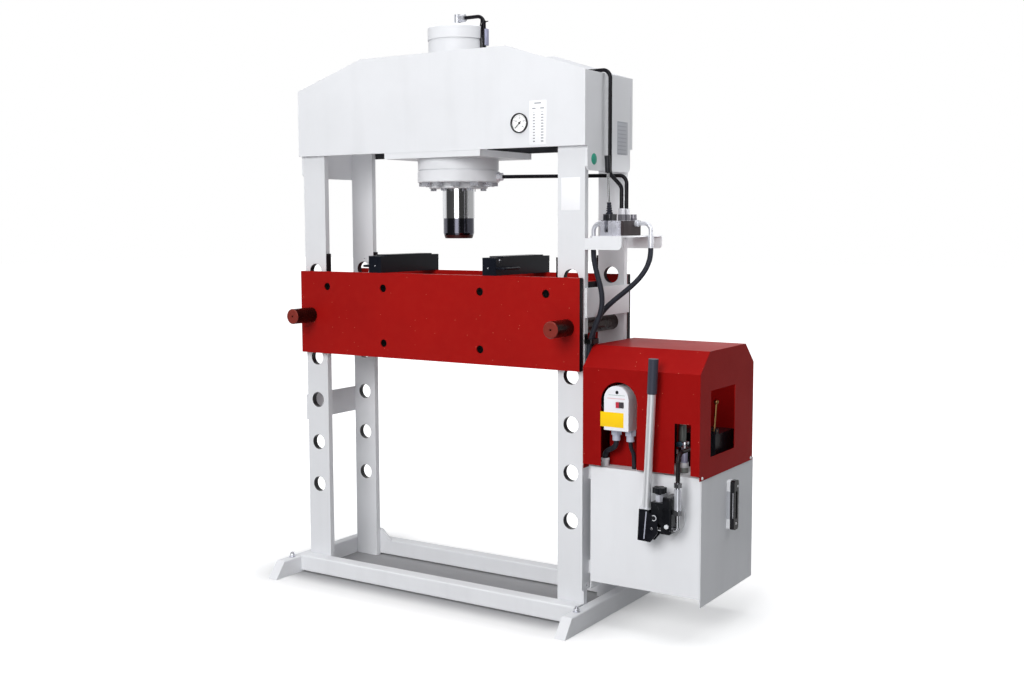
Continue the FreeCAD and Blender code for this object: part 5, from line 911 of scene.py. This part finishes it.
# %% Thin lines, clip and tie
for count, x in enumerate((92, 97.5), 1):
    line = hang_hose(f"leak_line_{count}", [
        (x, -9, 1756), (x, -9, 1800), (x + 1, -8, 1850), (x + 6, -5, 1876),
        (x + 2, -2, 1893 - 2 * count)], 0.0042, pipe_black)
    alone(line)
    bpy.ops.object.convert(target="MESH")
    dress(line, pipe_black)
dress(slab("pipe_clip", (111.6, -8, 1799), (119, 8, 1852), 1.6), lilac_nut)
dress(turned("cable_tie", [(15, 1873), (16.4, 1873.6), (16.4, 1877.4), (15, 1878)],
             (104.6, 0, 0), "Z", 24), gauge_black)
dress(slab("cable_tie_tip", (110, -1.6, 1874), (121, 1.6, 1877), 0.5), gauge_black)
print("riser dressed")

# %% [markdown]
# ## Small screws in the support blocks
# Each block has two small bright screws in its front face that hold its handle.

# %% Block screws
for side, body in ((-1, "left_block"), (1, "right_block")):
    for count, (x, z) in enumerate([(226, 1086), (270, 1112)], 1):
        dress(turned(f"{body}_screw_{count}", [(5, -0.1), (5, 0.8), (3.4, 1.6), (1, 1.9)],
                     (side * x, -165, z), "Y", 20), bright_nut, body)
print("block screws: 4")

# %% [markdown]
# ## Studio
# The portrait is a cut-out on white with a soft shadow at the feet. So the camera sees
# a pure white world, and a pale floor that lights up by itself away from the press
# until it is as white. Around and inside the base the floor glows less and is darker in
# colour, and near the tank it glows less: painted shadows. What the paint gets from
# the world is a dim, even sky.
#
# A mirror ray sees neither: it meets a ring of light and dark panels, set by the
# turn away from the lens. They give the rod and other bright metal their stripes.

# %% Floor and sky
LENS_RAY, MIRROR_RAY, GLASS_RAY = 0, 3, 6  # outputs of the light path node
WAY_OF_RAY, WAY_BACK = 0, 4  # of the sky's coordinates node, of the geometry node
TO_LENS, BESIDE_LENS = (0.54, -0.84, 0.0), (0.84, 0.54, 0.0)
WHITE, NO_LIGHT, DIM_SKY = (1, 1, 1, 1), (0, 0, 0, 1), (0.32, 0.33, 0.345, 1)
# Painted shadows on the floor: the middle in X, half the width and half the depth.
SHADOW_IN_THE_BASE, SHADOW_UNDER_THE_TANK = (-0.04, 0.52, 0.19), (0.80, 0.15, 0.26)

bpy.ops.mesh.primitive_plane_add(size=60, location=(0, 0, -0.0006))
floor = bpy.context.object
floor.name = "studio_floor"
sheet = Finish("pale_floor", roughness=0.9, specular_ior_level=0.0)
floor.data.materials.append(sheet.material)


def looked_at(wiring):
    """1 for rays from the camera and those that a mirror or glass sends on."""
    paths = [wiring.node("LightPath", out=out) for out in (LENS_RAY, MIRROR_RAY, GLASS_RAY)]
    return wiring.node("Math", {"operation": "MINIMUM"},
                       {0: paths[0] + paths[1] + paths[2], 1: 1.0})


def stretched(wiring, value, low, high, first, last):
    """Goes softly from first to last while the value goes from low to high."""
    return wiring.node("MapRange", {"interpolation_type": "SMOOTHSTEP"},
                       {"Value": value, "From Min": low, "From Max": high,
                        "To Min": first, "To Max": last})


# Degrees of turn and the brightness seen there; it changes evenly in between.
PANELS = [(-180, 0.95), (-128, 0.95), (-104, 0.85), (-90, 0.05), (-30, 0.07), (-23, 3.0),
          (-4, 3.0), (4, 0.04), (56, 0.05), (76, 0.4), (128, 0.45), (150, 0.9), (180, 0.95)]


def mirror_view(wiring, aim, sign=1):
    """What a mirror ray sees, by its turn away from the direction back to the lens."""
    back, side = (wiring.node("VectorMath", {"operation": "DOT_PRODUCT"},
                              {0: aim, 1: [sign * v for v in to]}, out=1)
                  for to in (TO_LENS, BESIDE_LENS))
    turn = wiring.node("Math", {"operation": "ARCTAN2"}, {0: side, 1: back})
    return wiring.node("ValToRGB", {"stops": [((a + 180) / 360, grey) for a, grey in PANELS]},
                       {0: turn * (0.5 / math.pi) + 0.5})


def outside(x_middle, x_half, y_half):
    """How far a place on the floor lies outside a rectangle around y = 0."""
    x, y, z = sheet.places()
    far = [(value.maths("MAXIMUM", abs(value - middle) - half, 0.0)) ** 2.0
           for value, middle, half in ((x, x_middle, x_half), (y, 0.0, y_half))]
    return (far[0] + far[1]) ** 0.5


# The floor glows less and is darker near the base and the tank: a painted shadow.
edge = outside(*SHADOW_IN_THE_BASE)
fill = stretched(sheet, edge, 0.0, 0.3, 0.0, 0.55) + stretched(sheet, edge, 0.5, 2.6, 0.0, 0.5)
fill = fill * stretched(sheet, outside(*SHADOW_UNDER_THE_TANK), 0.0, 0.4, 0.68, 1.0)
clear_of_painted_shadow = stretched(sheet, edge, 0.0, 0.1, 0.0, 1.0)
lens_ray = sheet.node("LightPath", out=LENS_RAY)
mirror_ray = sheet.node("LightPath", out=MIRROR_RAY)
floor_tone_with_painted_shadow = sheet.between(clear_of_painted_shadow, (0.36, 0.36, 0.37, 1), (0.8, 0.8, 0.8, 1))
sheet.wear(sheet.between(mirror_ray, sheet.between(lens_ray, (0.5, 0.5, 0.5, 1), floor_tone_with_painted_shadow),
                         NO_LIGHT))
seen = mirror_view(sheet, sheet.node("NewGeometry", out=WAY_BACK), -1) * mirror_ray
sheet.feed(sheet.shader.inputs["Emission Color"],
           sheet.between(looked_at(sheet) * fill * (1 - mirror_ray) + seen, NO_LIGHT, WHITE))
sheet.shader.inputs["Emission Strength"].default_value = 1.0

world = bpy.data.worlds.new("white_studio")
world.use_nodes = True
bpy.context.scene.world = world
sky = Wiring(world.node_tree)
background = world.node_tree.nodes["Background"]
mirrored = mirror_view(sky, sky.node("TexCoord", out=WAY_OF_RAY))
shown = sky.between(sky.node("LightPath", out=MIRROR_RAY), WHITE, mirrored)
sky.feed(background.inputs["Color"], sky.between(looked_at(sky), DIM_SKY, shown))
print("panels around the press:", len(PANELS))

# %% [markdown]
# Most of the light on the press comes from one large soft lamp in front, a little to
# the right, and a weaker one above. A small lamp at the right lifts that side, a spot
# lifts the right uprights, and a very weak lamp inside the cover shows what is behind
# its slit. No lamp is seen by the camera or by a mirror ray.

# %% Lamps
def soft_lamp(name, place, aim, size, power, cone=None):
    """A disc of this size, or a spot where a cone is named, in watts and degrees."""
    light = bpy.data.lights.new(name, "SPOT" if cone else "AREA")
    light.energy = power
    if cone:
        light.shadow_soft_size, light.spot_size, light.spot_blend = size, math.radians(cone), 1.0
    else:
        light.shape, light.size = "DISK", size
    lamp = bpy.data.objects.new(name, light)
    lamp.location = place
    lamp.rotation_euler = (Vector(aim) - Vector(place)).to_track_quat("-Z", "Y").to_euler()
    bpy.context.scene.collection.objects.link(lamp)
    lamp.visible_glossy = lamp.visible_camera = False


soft_lamp("front_softbox", (0.9, -5.4, 3.0), (0, 0, 1.0), 3.2, 225)
soft_lamp("top_softbox", (0.2, -0.4, 4.6), (0.1, 0, 0.8), 3.0, 80)
soft_lamp("right_softbox", (2.0, 0.4, 2.7), (0.6, 0, 1.5), 1.2, 10)
soft_lamp("upright_fill", (1.1, -0.13, 1.3), (0.51, 0.118, 1.2), 0.1, 11, 46)
soft_lamp("cover_fill", (0.90, -0.02, 0.82), (0.80, 0.2, 0.62), 0.1, 0.25)

# %% [markdown]
# ## Camera
# The photo was taken from the front right at about chest height. Corners of known
# size were matched to the photo to find the place, the direction and the lens, and
# the camera is set from those numbers.

# %% The photographer's place
SENSOR_WIDTH = 36
PICTURE_WIDTH, FOCAL_PIXELS, SHIFT_PIXELS = 1024, 1221.2, (0.16, -2.24)

place = Vector((2.3552, -3.3447, 1.2295))
yaw, pitch, roll = (math.radians(a) for a in (-32.692, -5.473, -0.155))
ahead = Vector((math.sin(yaw) * math.cos(pitch), math.cos(yaw) * math.cos(pitch),
                math.sin(pitch)))
right = ahead.cross(Vector((0, 0, 1))).normalized()
up = right.cross(ahead)
right, up = (right * math.cos(roll) + up * math.sin(roll),
             up * math.cos(roll) - right * math.sin(roll))
lens = bpy.data.cameras.new("portrait_lens")
lens.sensor_width = SENSOR_WIDTH
lens.lens = FOCAL_PIXELS / PICTURE_WIDTH * SENSOR_WIDTH
lens.shift_x, lens.shift_y = (shift / PICTURE_WIDTH for shift in SHIFT_PIXELS)
lens.clip_start, lens.clip_end = 0.05, 100
camera = bpy.data.objects.new("portrait_camera", lens)
bpy.context.scene.collection.objects.link(camera)
camera.matrix_world = Matrix.Translation(place) @ Matrix(
    (right, up, -ahead)).transposed().to_4x4()
bpy.context.scene.camera = camera
bpy.context.scene.view_settings.view_transform = "Standard"
print("lens:", round(lens.lens, 2), "mm")
